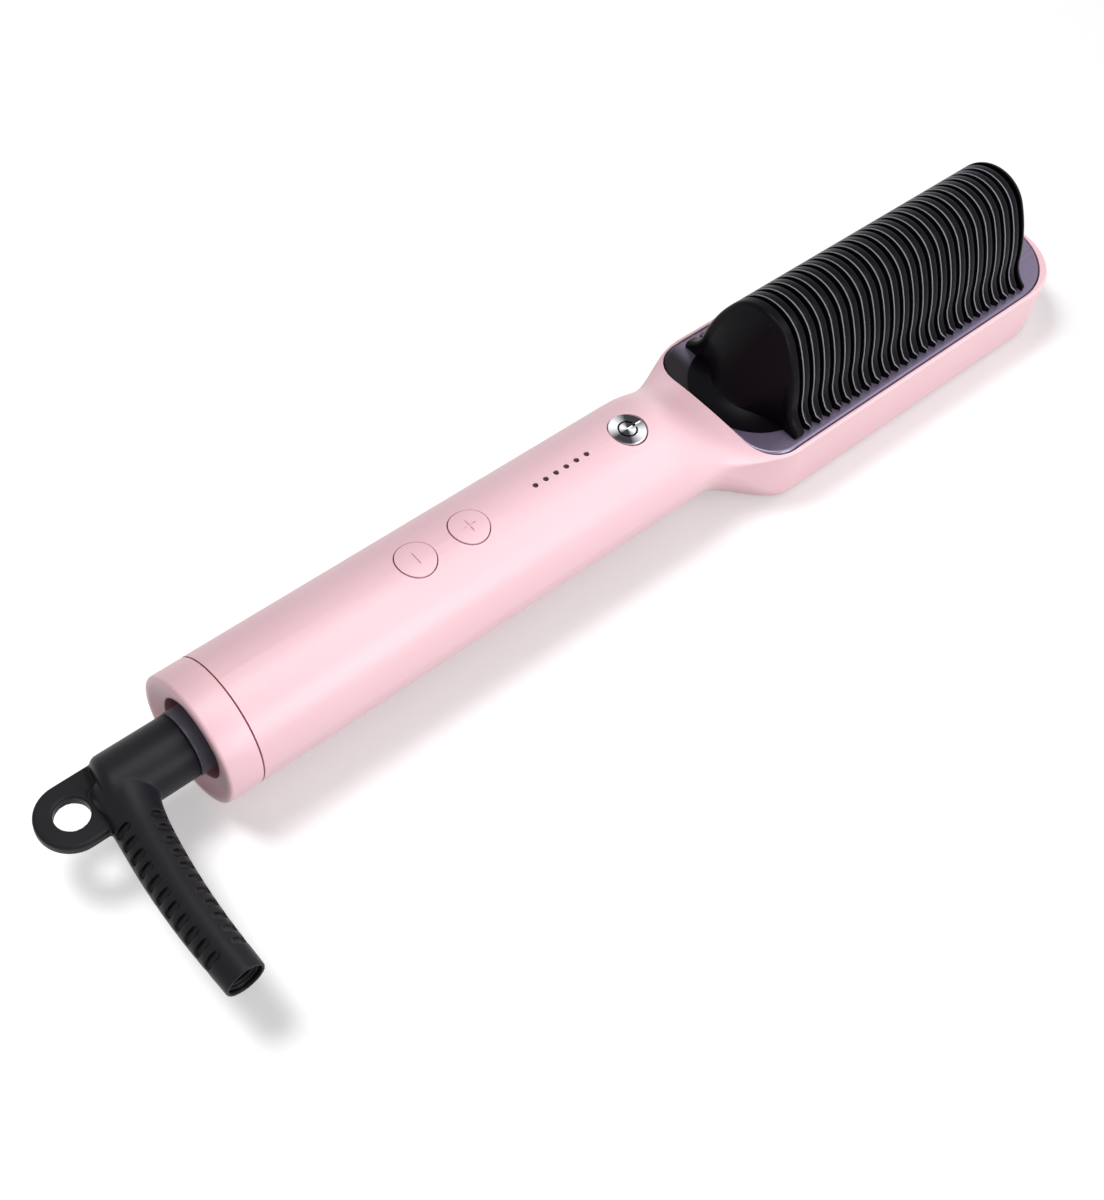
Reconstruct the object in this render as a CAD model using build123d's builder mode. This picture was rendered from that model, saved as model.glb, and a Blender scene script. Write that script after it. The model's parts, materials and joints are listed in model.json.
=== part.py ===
from build123d import *
import os
from math import cos, radians, sin, tan

# Hot comb: a hollow handle that widens into a head, a heated plate under a comb of thin arched teeth, three push
# buttons and a swivelling cord fitting. All lengths are millimetres. The origin is the centre of the head's flat
# back; +X runs along the handle's axis towards the tip, and +Z points up, out of the teeth.

os.makedirs("parts", exist_ok=True)

# --- Clearances ---------------------------------------------------------------------------------------------
slip = 0.05                     # round pieces that slide or turn in each other, per side
seat_gap = 0.1                  # pieces that sit beside each other in one body
free_gap = 0.3                  # pieces that move past each other

# --- Body of the comb ---------------------------------------------------------------------------------------
handle_length = 165.0           # end face of the handle to the start of the head
handle_radius = 16.5
wall = 2.0
handle_flat = 0.1               # half width of the tiny flats where the handle's arcs meet
axis_height = 17.6              # handle axis above the flat back of the head
head_length = 134.0
head_half_width = 24.4
head_tip_radius = 19.0
head_back_radius = 1.5          # edge round the flat back
rim_height = 1.1                # rim round the plate, above the handle axis
lip_radius = 0.8
edge_radius = 0.5               # smallest moulded inner corner
head_part_drop = 4.0            # parting line of the head, below the handle axis
neck_scoop_length = 29.0        # run of the slope from the handle's crest down to the plate
neck_flare_length = 27.0        # run of the widening from handle to head
neck_full_length = 13.0         # from the start of the head to its full width
neck_stations = 11
crest_height = 2.5              # pink crest at the plate's near edge, above the handle axis

head_start = -head_length / 2
head_tip = head_length / 2
handle_end = head_start - handle_length
head_full = head_start + neck_full_length
flare_start = head_full - neck_flare_length
scoop_end = head_start + 3.0
scoop_start = scoop_end - neck_scoop_length
rim_z = axis_height + rim_height
inner_radius = handle_radius - wall

# --- End cap and swivel bearing -----------------------------------------------------------------------------
cap_length = 9.2
cap_edge_radius = 1.0
cap_dish = 1.3                  # depth of the bevelled face at the recess's edge
cap_recess_radius = 10.4
cap_recess_depth = 6.5
cap_floor = 4.5                 # thickness of the recess's floor, which carries the bush
cap_spigot_length = 5.0
cap_spigot_wall = 2.0
bush_flange_radius = 8.0
bush_flange = 1.5
bush_wall = 1.4

# --- Swivelling cord fitting --------------------------------------------------------------------------------
spindle_radius = 5.0
spindle_bore_radius = 2.7
spindle_reach = 27.0            # from the handle's end face to the spindle's inner end
collar_radius = 8.2
collar_stand_out = 1.5          # how far the collar shows outside the end face
tenon_radius = 6.0
tenon_length = 7.0
ring_width = 1.0
ring_groove_depth = 0.4
ring_radius = 7.4
slip_ring_radius = 6.2
slip_ring_width = 2.5
slip_ring_pitch = 5.0
slip_ring_place = 17.0          # first ring's near side, from the end face
elbow_radius = 8.0
elbow_reach = 20.3              # top corner of the elbow's slanted end, out from the end face
elbow_round = 2.5
relief_root_radius = 5.9
relief_root_flare = 0.9         # extra radius where the relief grows out of the elbow
relief_flare_length = 7.0
relief_mouth_radius = 4.8
relief_root_x = 18.6            # relief's centreline at its root, out from the end face
relief_root_y = 7.0             # and out from the handle axis
relief_lean = 12.0              # degrees that the root leans away from the handle
relief_bend_radius = 180.0
relief_mouth_length = 9.0       # straight end of the relief
relief_station_pitch = 6.0
relief_start = -7.0             # start of the relief's form inside the elbow
mouth_recess_radius = 4.1
mouth_recess_depth = 1.5
relief_slot_count = 11
relief_slot_pitch = 3.45
relief_slot_width = 1.7
relief_slot_first = 5.5         # first slot from the relief's root
relief_slot_depth = 1.1
relief_slot_length = 4.9
relief_slot_angle = 50.0        # middle of each row of slots, round from the top or the underside
cord_bore_radius = 2.6
eye_place = 29.4                # eye of the hanging tab, out from the end face
eye_side = -0.8
eye_radius = 4.0
tab_radius = 8.2
tab_root = 16.0                 # how far the tab reaches back into the elbow, out from the end face
tab_thickness = 3.0
tab_edge_radius = 0.6

# --- Brushes of the slip rings ------------------------------------------------------------------------------
brush_width = 3.0
brush_thickness = 2.0
brush_sink = 1.5                # how deep the brushes sit in their holder
holder_half_width = 5.0
holder_margin = 1.45            # holder beyond the rings at each end
holder_top_drop = 9.4           # top of the brush holder, below the handle axis

# --- Heating plate and its hump -----------------------------------------------------------------------------
crest_width = 0.9               # shell between the head's start and the plate
rim_width = 1.4                 # shell edge to plate, gap included
plate_gap = 0.35
plate_near_radius = 10.0
plate_tip_radius = 21.0
plate_top_height = 1.3          # above the handle axis
plate_thickness = 1.6
plate_edge_radius = 0.9
ledge_width = 2.2
ledge_thickness = 1.8
gasket_thickness = 0.6
pocket_half_width = 5.0
pocket_roof = 15.0              # above the handle axis
pocket_end_wall = 4.0
hump_gap = 0.3                  # between the hump and the teeth round it
ledge_root = 1.2                # how far the ledge grows into the shell's wall

# --- Comb ---------------------------------------------------------------------------------------------------
comb_start_setback = 12.8       # near guard's face, from the start of the head
near_guard_length = 3.2
tip_guard_length = 2.0
tooth_count = 23
tooth_thickness = 2.4
tooth_gap = 1.705
arch_top = 31.5                 # crest of the teeth above the handle axis
crown_radius = 12.0
crown_turn = 56.5
side_radius = 43.5
side_turn = 24.0
foot_radius = 9.0
foot_turn = 50.0
toe_radius = 0.8
toe_turn = 80.0
toe_point = 1.6                 # length of the pointed end of each foot, seen from above
tooth_depth = 6.2               # from the outer edge of a tooth to its inner edge
spine_half_width = 3.5
spine_height = 1.5
guard_round = 1.2
guard_stations = 4              # cross-sections through a guard's rounded edge
tip_guard_round = 1.8
dome_half_width = 15.0          # dome that swells from each guard's face and runs out over the plate
dome_rim = 1.0                  # flat rim left round it at the crest
dome_length = 9.5
dome_stations = 8
dome_last_share = 0.8           # place of the last cross-section, as a share of the length
dome_fall = 3                   # power by which the dome's height falls off
dome_narrowing = 0.75           # power by which its width does
apron_radius = 17.1             # apron of the near guard, about a point behind the guard
apron_centre = 1.0
apron_edge = 0.25               # its height at the edge
apron_middle = 0.9
apron_middle_radius = 12.0
apron_root = 3.2                # its height at the guard's face
apron_root_radius = 7.0

# --- Buttons, lights and switches ---------------------------------------------------------------------------
power_setback = 32.55           # from the start of the head towards the handle's end
controls_share = 2 / 3          # minus button's place between the handle's end and the lights' far limit
controls_setback = 69.0         # that limit, from the start of the head towards the handle's end
button_spacing = 16.2
button_radius = 5.0
button_gap = 0.3
button_proud = 0.2
button_flange_radius = 5.8
button_flange = 0.9
button_travel = 0.4
stem_radius = 1.5
sign_length = 3.6
sign_width = 0.5
sign_depth = 0.3
ring_sign_radius = 2.4
light_count = 6
light_pitch = 3.38
last_light_offset = 54.2        # light nearest the head, from the minus button
light_radius = 0.7
light_bar_half_width = 1.9
light_bar_thickness = 1.7
light_bar_margin = 0.9          # bar beyond the centre of its end lights

# --- Circuit board ------------------------------------------------------------------------------------------
board_start_offset = 22.0       # from the minus button towards the handle's end
board_end_setback = 14.0
board_half_width = 12.5
board_thickness = 1.6
board_top_height = 4.0          # above the handle axis
switch_size = 6.0
switch_height = 3.6
plunger_radius = 1.7
plunger_stand = 1.0
plunger_grip = 1.3              # plunger held inside its switch
power_top_drop = 0.1            # flat top of the power button, below the handle's crest
power_edge_radius = 0.3
light_sink = 0.3                # tips of the light pipe, below the handle's crest
led_length = 1.6
led_half_width = 0.4
led_height = 0.7
capacitor_length = 16.0
capacitor_half_width = 4.5
capacitor_height = 10.0
smoothing_length = 11.0
smoothing_radius = 4.0
smoothing_offset = 15.5         # from the minus button, under which the film capacitor hangs
chip_size = 7.0
chip_height = 1.4
chip_offset = 44.0              # from the minus button
triac_thickness = 4.5
triac_half_width = 5.0
triac_height = 9.0
triac_setback = 40.0

# --- Screws -------------------------------------------------------------------------------------------------
post_radius = 4.0
rear_post_offset = -14.0        # from the minus button
middle_post_offset = 27.0       # from the minus button
front_post_setback = 19.0       # from the start of the head
screw_radius = 1.3
screw_head_radius = 2.5
screw_head_height = 1.8
screw_head_depth = 4.0          # from the handle's underside up to the head's seat
screw_bite = 7.0                # thread held above the board
small_screw_radius = 1.0
small_screw_head_radius = 1.9
small_screw_head_height = 1.3
plate_screw_spacing_x = 96.0
plate_screw_spacing_y = 30.0
plate_boss_radius = 2.3
comb_screw_bite = 7.0
comb_screw_inset = 2.2          # from a guard's inner face

# --- Parts under the plate ----------------------------------------------------------------------------------
shield_thickness = 0.6
heater_length = 34.0
heater_thickness = 2.4
heater_half_width = 4.4
heater_start_setback = 37.0
heater_space = 1.0
mica_thickness = 0.3
clip_wall = 0.8
clip_inset = 2.0                # clip shorter than the heaters at each end
fuse_radius = 1.8
fuse_length = 8.0
fuse_side = 2.6
fuse_wire_radius = 0.4
fuse_wire_length = 1.0
sensor_radius = 1.0
sensor_length = 5.0
sensor_setback = 20.0
sensor_side = 10.0
shield_overlap = 1.0            # shield under the ledge
shield_slot_length = 8.0
shield_hole_radius = 2.0

# --- Leads --------------------------------------------------------------------------------------------------
power_lead_radius = 0.8
sensor_lead_radius = 0.4
sensor_lead_space = 1.0         # between the centres of the sensor's two leads
sensor_run = 5.0
lead_side = 7.0
lead_drop = 2.0                 # leads below the heat shield
lead_overlap = 6.0              # lead soldered along the board
bend_share = 0.45               # share of the shorter run taken by an arc


def blend(x, start, end):
    """Smooth step from 0 to 1 between two places along the body."""
    share = min(max((x - start) / (end - start), 0), 1)
    return share * share * (3 - 2 * share)


def mix(near, far, share):
    """Value between a near and a far one."""
    return near + (far - near) * share


def turned(points):
    """Solid turned about the handle's axis, from corners given as (place along X, radius)."""
    with BuildPart() as solid:
        with BuildSketch(Plane.XZ):
            with BuildLine():
                Polyline([(x, axis_height + radius) for x, radius in points], close=True)
            make_face()
        revolve(axis=Axis((0, 0, axis_height), (1, 0, 0)))
    return solid.part


def upright(radius, bottom, top, places):
    """Round posts or holes along Z, from one height to another, at places in plan."""
    with BuildPart() as solid:
        with BuildSketch(Plane.XY.offset(bottom)):
            with Locations(*places):
                Circle(radius)
        extrude(amount=top - bottom)
    return solid.part


def block(start, end, half_width, bottom, top, side=0):
    """Straight-sided block between two places along X and two heights."""
    with BuildPart() as solid:
        with BuildSketch(Plane.XY.offset(bottom)):
            with Locations(((start + end) / 2, side)):
                Rectangle(end - start, 2 * half_width)
        extrude(amount=top - bottom)
    return solid.part


def body_section(x, inset):
    """Cross-section (Y, Z) of the body at one place, drawn inside its outer surface by an inset."""
    flare = blend(x, flare_start, head_full)
    settle = blend(x, head_start, head_full)
    half_width = mix(handle_radius, head_half_width, flare) - inset
    back = mix(axis_height - handle_radius, 0, flare) + inset
    corner = mix(handle_radius - handle_flat - inset, max(head_back_radius - inset, edge_radius), flare)
    slope = mix(axis_height + handle_radius, axis_height + crest_height, blend(x, scoop_start, scoop_end))
    top = mix(slope, rim_z, settle) - inset
    shoulder = min(mix(axis_height + handle_flat, rim_z - lip_radius - inset, flare), top - lip_radius)
    crown = mix(handle_flat, half_width - lip_radius, settle)
    with BuildSketch() as section:
        with BuildLine():
            Line((corner - half_width, back), (half_width - corner, back))
            CenterArc((half_width - corner, back + corner), corner, -90, 90)
            Line((half_width, back + corner), (half_width, shoulder))
            EllipticalCenterArc((crown, shoulder), half_width - crown, top - shoulder, 0, arc_size=90)
            Line((crown, top), (-crown, top))
            EllipticalCenterArc((-crown, shoulder), half_width - crown, top - shoulder, 90, arc_size=90)
            Line((-half_width, shoulder), (-half_width, back + corner))
            CenterArc((corner - half_width, back + corner), corner, 180, 90)
        make_face()
    return section.sketch


def rounded_outline(start, end, half_width, start_radius, end_radius):
    """Outline in plan with its own corner radius at each end."""
    with BuildSketch() as outline:
        with Locations(((start + end) / 2, 0)):
            Rectangle(end - start, 2 * half_width)
        if start_radius:
            fillet(outline.vertices().group_by(Axis.X)[0], start_radius)
        fillet(outline.vertices().group_by(Axis.X)[-1], end_radius)
    return outline.sketch


def plan_slab(outline, bottom, height):
    """Slab that stands on a level above the flat back."""
    with BuildPart() as slab:
        with BuildSketch(Plane.XY.offset(bottom)):
            add(outline)
        extrude(amount=height)
    return slab.part


def body_form(inset, start):
    """Outside of the body, or its cavity, from a place on the handle to the tip."""
    step = (head_full - scoop_start) / (neck_stations - 1)
    with BuildPart() as neck:
        for station in range(neck_stations):
            x = scoop_start + station * step
            with BuildSketch(Plane.YZ.offset(x)):
                add(body_section(x, inset))
        loft()
    with BuildPart() as tub:
        with BuildSketch(Plane.XY.offset(inset)):
            add(rounded_outline(head_full, head_tip - inset, head_half_width - inset, 0, head_tip_radius - inset))
        extrude(amount=rim_z - 2 * inset)
        back_edges = tub.faces().sort_by(Axis.Z)[0].edges().sort_by(Axis.X)[1:]
        fillet(back_edges, max(head_back_radius - inset, edge_radius))
        rim_edges = tub.faces().sort_by(Axis.Z)[-1].edges().sort_by(Axis.X)[1:]
        fillet(rim_edges, lip_radius)
    with BuildPart() as form:
        with BuildSketch(Plane.YZ.offset(start)):
            add(body_section(start, inset))
        extrude(amount=scoop_start - start)
        add(neck.part)
        add(tub.part)
    return form.part


def save(part, name):
    """Write one finished piece."""
    part.label = name
    export_step(part, f"parts/{name}.step")


# --- Shells -------------------------------------------------------------------------------------------------
seam_x = handle_end + cap_length
plate_start = head_start + crest_width
plate_end = head_tip - rim_width
plate_half_width = head_half_width - rim_width
plate_top = axis_height + plate_top_height
plate_floor = plate_top - plate_thickness
seat_z = plate_floor - gasket_thickness
ledge_floor = seat_z - ledge_thickness
head_part_z = axis_height - head_part_drop
board_top = axis_height + board_top_height
board_floor = board_top - board_thickness
handle_top = axis_height + handle_radius
handle_bottom = axis_height - handle_radius
screw_seat = handle_bottom + screw_head_depth
screw_top = board_top + screw_bite
power_x = head_start - power_setback
minus_x = mix(handle_end, head_start - controls_setback, controls_share)
plus_x = minus_x + button_spacing
last_light_x = minus_x + last_light_offset
post_places = [(minus_x + rear_post_offset, 0), (minus_x + middle_post_offset, 0),
               (head_start - front_post_setback, 0)]
power_top = handle_top - power_top_drop
smoothing_x = minus_x + smoothing_offset
chip_x = minus_x + chip_offset
triac_x = head_start - triac_setback
light_places = [(last_light_x - light * light_pitch, 0) for light in range(light_count)]


def plate_outline(grow):
    """Plan outline of the heating plate, grown by a margin."""
    return rounded_outline(plate_start - grow, plate_end + grow, plate_half_width + grow,
                           plate_near_radius + grow, plate_tip_radius + grow)


body = body_form(0, seam_x)

with BuildPart() as hollow:
    add(body_form(wall, seam_x))
    add(plan_slab(plate_outline(plate_gap + ledge_root), ledge_floor, handle_radius), mode=Mode.SUBTRACT)

with BuildPart() as case:
    add(body)
    add(hollow.part, mode=Mode.SUBTRACT)
    add(plan_slab(plate_outline(plate_gap), seat_z, handle_radius), mode=Mode.SUBTRACT)
    add(plan_slab(plate_outline(plate_gap - ledge_width), ledge_floor, ledge_thickness), mode=Mode.SUBTRACT)

with BuildPart() as upper_zone:
    with BuildSketch(Plane.XZ):
        with BuildLine():
            Polyline((seam_x, axis_height), (head_start - crest_height - wall, axis_height),
                     (head_full, head_part_z), (head_tip + wall, head_part_z),
                     (head_tip + wall, handle_top + wall), (seam_x, handle_top + wall), close=True)
        make_face()
    extrude(amount=2 * head_half_width, both=True)

with BuildPart() as upper_posts:
    add(upright(post_radius, board_top, handle_top, post_places))
    add(body, mode=Mode.INTERSECT)

with BuildPart() as upper_shell:
    add(case.part)
    add(upper_zone.part, mode=Mode.INTERSECT)
    add(upper_posts.part)
    add(upright(screw_radius + slip, board_top, screw_top + slip, post_places), mode=Mode.SUBTRACT)
    button_places = [(power_x, 0), (minus_x, 0), (plus_x, 0)]
    add(upright(button_radius + button_gap, board_top, handle_top + wall, button_places), mode=Mode.SUBTRACT)
    add(upright(light_radius + slip, board_top, handle_top + wall, light_places), mode=Mode.SUBTRACT)
save(upper_shell.part, "upper_shell")

with BuildPart() as lower_posts:
    add(upright(post_radius, handle_bottom, board_floor, post_places))
    add(body, mode=Mode.INTERSECT)

with BuildPart() as lower_shell:
    add(case.part)
    add(upper_zone.part, mode=Mode.SUBTRACT)
    add(lower_posts.part)
    below = handle_bottom - wall
    add(upright(screw_radius + seat_gap, below, board_floor, post_places), mode=Mode.SUBTRACT)
    add(upright(screw_head_radius + seat_gap, below, screw_seat, post_places), mode=Mode.SUBTRACT)
save(lower_shell.part, "lower_shell")


# --- End cap and its bush -----------------------------------------------------------------------------------
recess_floor = handle_end + cap_recess_depth
bearing_end = recess_floor + cap_floor
spigot_end = seam_x + cap_spigot_length
spigot_radius = inner_radius - slip
spigot_bore = spigot_radius - cap_spigot_wall
bush_bore = spindle_radius + slip
bush_radius = bush_bore + bush_wall

with BuildPart() as end_cap:
    add(turned([(handle_end + cap_dish, cap_recess_radius), (handle_end, handle_radius - 2 * cap_edge_radius),
                (handle_end, handle_radius), (seam_x, handle_radius), (seam_x, spigot_radius),
                (spigot_end, spigot_radius), (spigot_end, spigot_bore), (bearing_end, spigot_bore),
                (bearing_end, bush_radius + slip), (recess_floor, bush_radius + slip),
                (recess_floor, cap_recess_radius)]))
    rims = end_cap.edges().filter_by(GeomType.CIRCLE).group_by(Axis.X)[0]
    fillet(rims.sort_by(SortBy.RADIUS)[-1], cap_edge_radius)
save(end_cap.part, "end_cap")

bush_face = recess_floor - bush_flange
swivel_bush = turned([(bush_face, bush_bore), (bush_face, bush_flange_radius), (recess_floor, bush_flange_radius),
                      (recess_floor, bush_radius), (bearing_end, bush_radius), (bearing_end, bush_bore)])
save(swivel_bush, "swivel_bush")


# --- Swivel spindle, its rings and the brushes --------------------------------------------------------------
collar_start = handle_end - collar_stand_out
collar_end = bush_face - free_gap
tenon_start = collar_start - tenon_length
spindle_end = handle_end + spindle_reach
groove_start = bearing_end + free_gap - slip
groove_end = groove_start + ring_width + 2 * slip
groove_radius = spindle_radius - ring_groove_depth

swivel_spindle = turned([(tenon_start, spindle_bore_radius), (tenon_start, tenon_radius),
                         (collar_start, tenon_radius), (collar_start, collar_radius),
                         (collar_end, collar_radius), (collar_end, spindle_radius),
                         (groove_start, spindle_radius), (groove_start, groove_radius),
                         (groove_end, groove_radius), (groove_end, spindle_radius),
                         (spindle_end, spindle_radius), (spindle_end, spindle_bore_radius)])
save(swivel_spindle, "swivel_spindle")

ring_start = groove_start + slip
retaining_ring = turned([(ring_start, groove_radius + slip), (ring_start, ring_radius),
                         (ring_start + ring_width, ring_radius), (ring_start + ring_width, groove_radius + slip)])
save(retaining_ring, "retaining_ring")

slip_ring_starts = [handle_end + slip_ring_place, handle_end + slip_ring_place + slip_ring_pitch]
with BuildPart() as slip_rings:
    for start in slip_ring_starts:
        add(turned([(start, bush_bore), (start, slip_ring_radius),
                    (start + slip_ring_width, slip_ring_radius), (start + slip_ring_width, bush_bore)]))
save(slip_rings.part, "slip_rings")

holder_start = slip_ring_starts[0] - holder_margin
holder_end = slip_ring_starts[-1] + slip_ring_width + holder_margin
holder_top = axis_height - holder_top_drop
holder_floor = axis_height - (inner_radius**2 - holder_half_width**2) ** 0.5 + seat_gap
brush_top = axis_height - slip_ring_radius - free_gap
brush_floor = holder_top - brush_sink
brush_centres = [start + slip_ring_width / 2 for start in slip_ring_starts]

with BuildPart() as brush_contacts:
    for centre in brush_centres:
        add(block(centre - brush_thickness / 2, centre + brush_thickness / 2, brush_width / 2, brush_floor, brush_top))
save(brush_contacts.part, "brush_contacts")

with BuildPart() as brush_holder:
    add(block(holder_start, holder_end, holder_half_width, holder_floor, holder_top))
    for centre in brush_centres:
        pocket = brush_thickness / 2 + slip
        add(block(centre - pocket, centre + pocket, brush_width / 2 + slip, brush_floor, holder_top),
            mode=Mode.SUBTRACT)
save(brush_holder.part, "brush_holder")


# --- Cord boot: elbow, hanging tab and strain relief --------------------------------------------------------
bend_run = relief_bend_radius * radians(relief_lean)
relief_run = bend_run + relief_mouth_length


def relief_plane(run):
    """Plane across the strain relief at a distance along its centreline from the root."""
    root_lean = radians(relief_lean)
    lean = root_lean - min(max(run, 0), bend_run) / relief_bend_radius
    straight = min(run, 0) + max(run - bend_run, 0)
    across = relief_bend_radius * (cos(lean) - cos(root_lean)) + straight * sin(lean)
    along = relief_bend_radius * (sin(root_lean) - sin(lean)) + straight * cos(lean)
    origin = (handle_end - relief_root_x - across, -relief_root_y - along, axis_height)
    return Plane(origin=origin, x_dir=(cos(lean), -sin(lean), 0), z_dir=(-sin(lean), -cos(lean), 0))


def relief_radius(run):
    """Radius of the strain relief at a distance along its centreline."""
    taper = mix(relief_root_radius, relief_mouth_radius, max(run, 0) / relief_run)
    return taper + relief_root_flare * (1 - blend(run, relief_start / 2, relief_flare_length))


with BuildPart() as relief:
    stations = round((relief_run - relief_start) / relief_station_pitch)
    for station in range(stations + 1):
        run = mix(relief_start, relief_run, station / stations)
        with BuildSketch(relief_plane(run)):
            Circle(relief_radius(run))
    loft()

with BuildPart() as slots:
    for slot in range(relief_slot_count):
        run = relief_slot_first + slot * relief_slot_pitch
        across = relief_plane(run)
        for angle in (relief_slot_angle, -relief_slot_angle, 180 - relief_slot_angle, 180 + relief_slot_angle):
            outward = across.y_dir * cos(radians(angle)) + across.x_dir * sin(radians(angle))
            floor = across.origin + outward * (relief_radius(run) - relief_slot_depth)
            with BuildSketch(Plane(origin=floor, x_dir=across.z_dir, z_dir=outward)):
                SlotOverall(relief_slot_length, relief_slot_width, rotation=90)
            extrude(amount=2 * relief_slot_depth)

with BuildPart() as cord_way:
    mouth = relief_plane(relief_run)
    with BuildLine() as way:
        entry = Line(mouth.origin, relief_plane(bend_run).origin)
        bend = JernArc(entry @ 1, entry % 1, relief_bend_radius, -relief_lean)
        elbow_angle = 90 - relief_lean
        turn = JernArc(bend @ 1, bend % 1, relief_root_y / (1 - cos(radians(elbow_angle))), -elbow_angle)
        Line(turn @ 1, (tenon_start, 0, axis_height))
    with BuildSketch(mouth):
        Circle(cord_bore_radius)
    sweep(path=way.wires()[0])

with BuildPart() as tab:
    with BuildSketch(Plane.XY.offset(axis_height - tab_thickness / 2)):
        with Locations((handle_end - eye_place, eye_side)):
            Circle(tab_radius)
        with Locations((handle_end - (eye_place + tab_root) / 2, eye_side)):
            Rectangle(eye_place - tab_root, 2 * tab_radius)
    extrude(amount=tab_thickness)
    fillet(tab.faces().filter_by(Axis.Z).edges(), tab_edge_radius)

with BuildPart() as cord_boot:
    with BuildSketch(Plane.YZ.offset(collar_start)):
        with Locations((0, axis_height)):
            Circle(elbow_radius)
    extrude(amount=-(elbow_reach + elbow_radius - collar_stand_out))
    corner = (handle_end - elbow_reach, elbow_radius, axis_height)
    lean = radians(relief_lean)
    slant = Plane(origin=corner, x_dir=(sin(lean), cos(lean), 0), z_dir=(-cos(lean), sin(lean), 0))
    split(bisect_by=slant, keep=Keep.BOTTOM)
    fillet(cord_boot.edges().sort_by(Axis.X)[0], elbow_round)
    add(relief.part)
    add(tab.part)
    add(slots.part, mode=Mode.SUBTRACT)
    add(upright(eye_radius, 0, 2 * axis_height, [(handle_end - eye_place, eye_side)]), mode=Mode.SUBTRACT)
    add(turned([(tenon_start, 0), (tenon_start, tenon_radius + slip),
                (collar_start, tenon_radius + slip), (collar_start, 0)]), mode=Mode.SUBTRACT)
    add(cord_way.part, mode=Mode.SUBTRACT)
    with BuildSketch(mouth):
        Circle(mouth_recess_radius)
    extrude(amount=-mouth_recess_depth, mode=Mode.SUBTRACT)
save(cord_boot.part, "cord_boot")


# --- Heating plate ------------------------------------------------------------------------------------------
comb_start = head_start + comb_start_setback
near_guard_end = comb_start + near_guard_length
tip_guard_start = near_guard_end + tooth_gap + tooth_count * (tooth_thickness + tooth_gap)
comb_end = tip_guard_start + tip_guard_length
hump_start = near_guard_end + hump_gap
hump_end = tip_guard_start - hump_gap
pocket_start = hump_start + pocket_end_wall
pocket_end = hump_end - pocket_end_wall
pocket_top = axis_height + pocket_roof
comb_screw_places = [(near_guard_end - comb_screw_inset, 0), (tip_guard_start + comb_screw_inset, 0)]
plate_screw_places = [(x, y) for x in (-plate_screw_spacing_x / 2, plate_screw_spacing_x / 2)
                      for y in (-plate_screw_spacing_y / 2, plate_screw_spacing_y / 2)]


def arch_profile(inset, base):
    """Cross-section (Y, Z) of the comb's arch above a level, drawn inside the teeth's outer edge by an inset."""
    with BuildSketch() as arch:
        with BuildLine():
            crown = JernArc((0, axis_height + arch_top - inset), (1, 0), crown_radius - inset, -crown_turn)
            side = JernArc(crown @ 1, crown % 1, side_radius - inset, -side_turn)
            foot = JernArc(side @ 1, side % 1, foot_radius + inset, foot_turn)
            toe = JernArc(foot @ 1, foot % 1, toe_radius, -toe_turn)
            Polyline(toe @ 1, ((toe @ 1).X, base), (0, base))
            mirror(about=Plane.YZ)
        make_face()
    return arch.sketch


with BuildPart() as hump:
    with BuildSketch(Plane.YZ.offset(hump_start)):
        add(arch_profile(tooth_depth + hump_gap, 0))
    extrude(amount=hump_end - hump_start)
    add(block(hump_start, hump_end, head_half_width, 0, plate_floor + plate_thickness / 2), mode=Mode.SUBTRACT)

with BuildPart() as heating_plate:
    add(plan_slab(plate_outline(0), plate_floor, plate_thickness))
    fillet(heating_plate.faces().sort_by(Axis.Z)[-1].edges(), plate_edge_radius)
    add(hump.part)
    add(upright(plate_boss_radius, ledge_floor + slip, plate_floor, plate_screw_places))
    add(block(pocket_start, pocket_end, pocket_half_width, plate_floor, pocket_top), mode=Mode.SUBTRACT)
    add(upright(small_screw_radius + slip, 0, plate_floor + plate_thickness / 2, plate_screw_places),
        mode=Mode.SUBTRACT)
    add(upright(small_screw_radius + slip, 0, plate_top, comb_screw_places), mode=Mode.SUBTRACT)
save(heating_plate.part, "heating_plate")

with BuildPart() as plate_gasket:
    add(plan_slab(plate_outline(plate_gap - slip), seat_z, gasket_thickness))
    add(plan_slab(plate_outline(plate_gap - ledge_width), seat_z, gasket_thickness), mode=Mode.SUBTRACT)
save(plate_gasket.part, "plate_gasket")


# --- Comb ---------------------------------------------------------------------------------------------------
toe_reach = arch_profile(0, plate_top).bounding_box().max.X
toe_shoulder = toe_reach - toe_point
half_tooth = tooth_thickness / 2

with BuildPart() as tooth:
    with BuildSketch(Plane.YZ):
        add(arch_profile(0, plate_top))
        add(arch_profile(tooth_depth, 0), mode=Mode.SUBTRACT)
    extrude(amount=half_tooth, both=True)
    with BuildSketch(Plane.XY.offset(plate_top)):
        with BuildLine():
            Polyline((0, toe_reach), (half_tooth, toe_shoulder), (half_tooth, -toe_shoulder), (0, -toe_reach),
                     (-half_tooth, -toe_shoulder), (-half_tooth, toe_shoulder), close=True)
        make_face()
    extrude(amount=axis_height + arch_top, mode=Mode.INTERSECT)


def dome(face, outward, height, base):
    """Dome on a guard's face: half ellipses whose height falls off fast, so that it sweeps down to the plate."""
    with BuildPart() as form:
        for station in range(dome_stations + 1):
            share = dome_last_share * (station / dome_stations) ** 2
            half_width = dome_half_width * (1 - share**dome_narrowing)
            with BuildSketch(Plane.YZ.offset(face + outward * share * dome_length)):
                with BuildLine():
                    EllipticalCenterArc((0, plate_top), half_width, height * (1 - share) ** dome_fall, 0, arc_size=180)
                    Polyline((-half_width, plate_top), (-half_width, base), (half_width, base),
                             (half_width, plate_top))
                make_face()
        loft()
    return form.part


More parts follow.
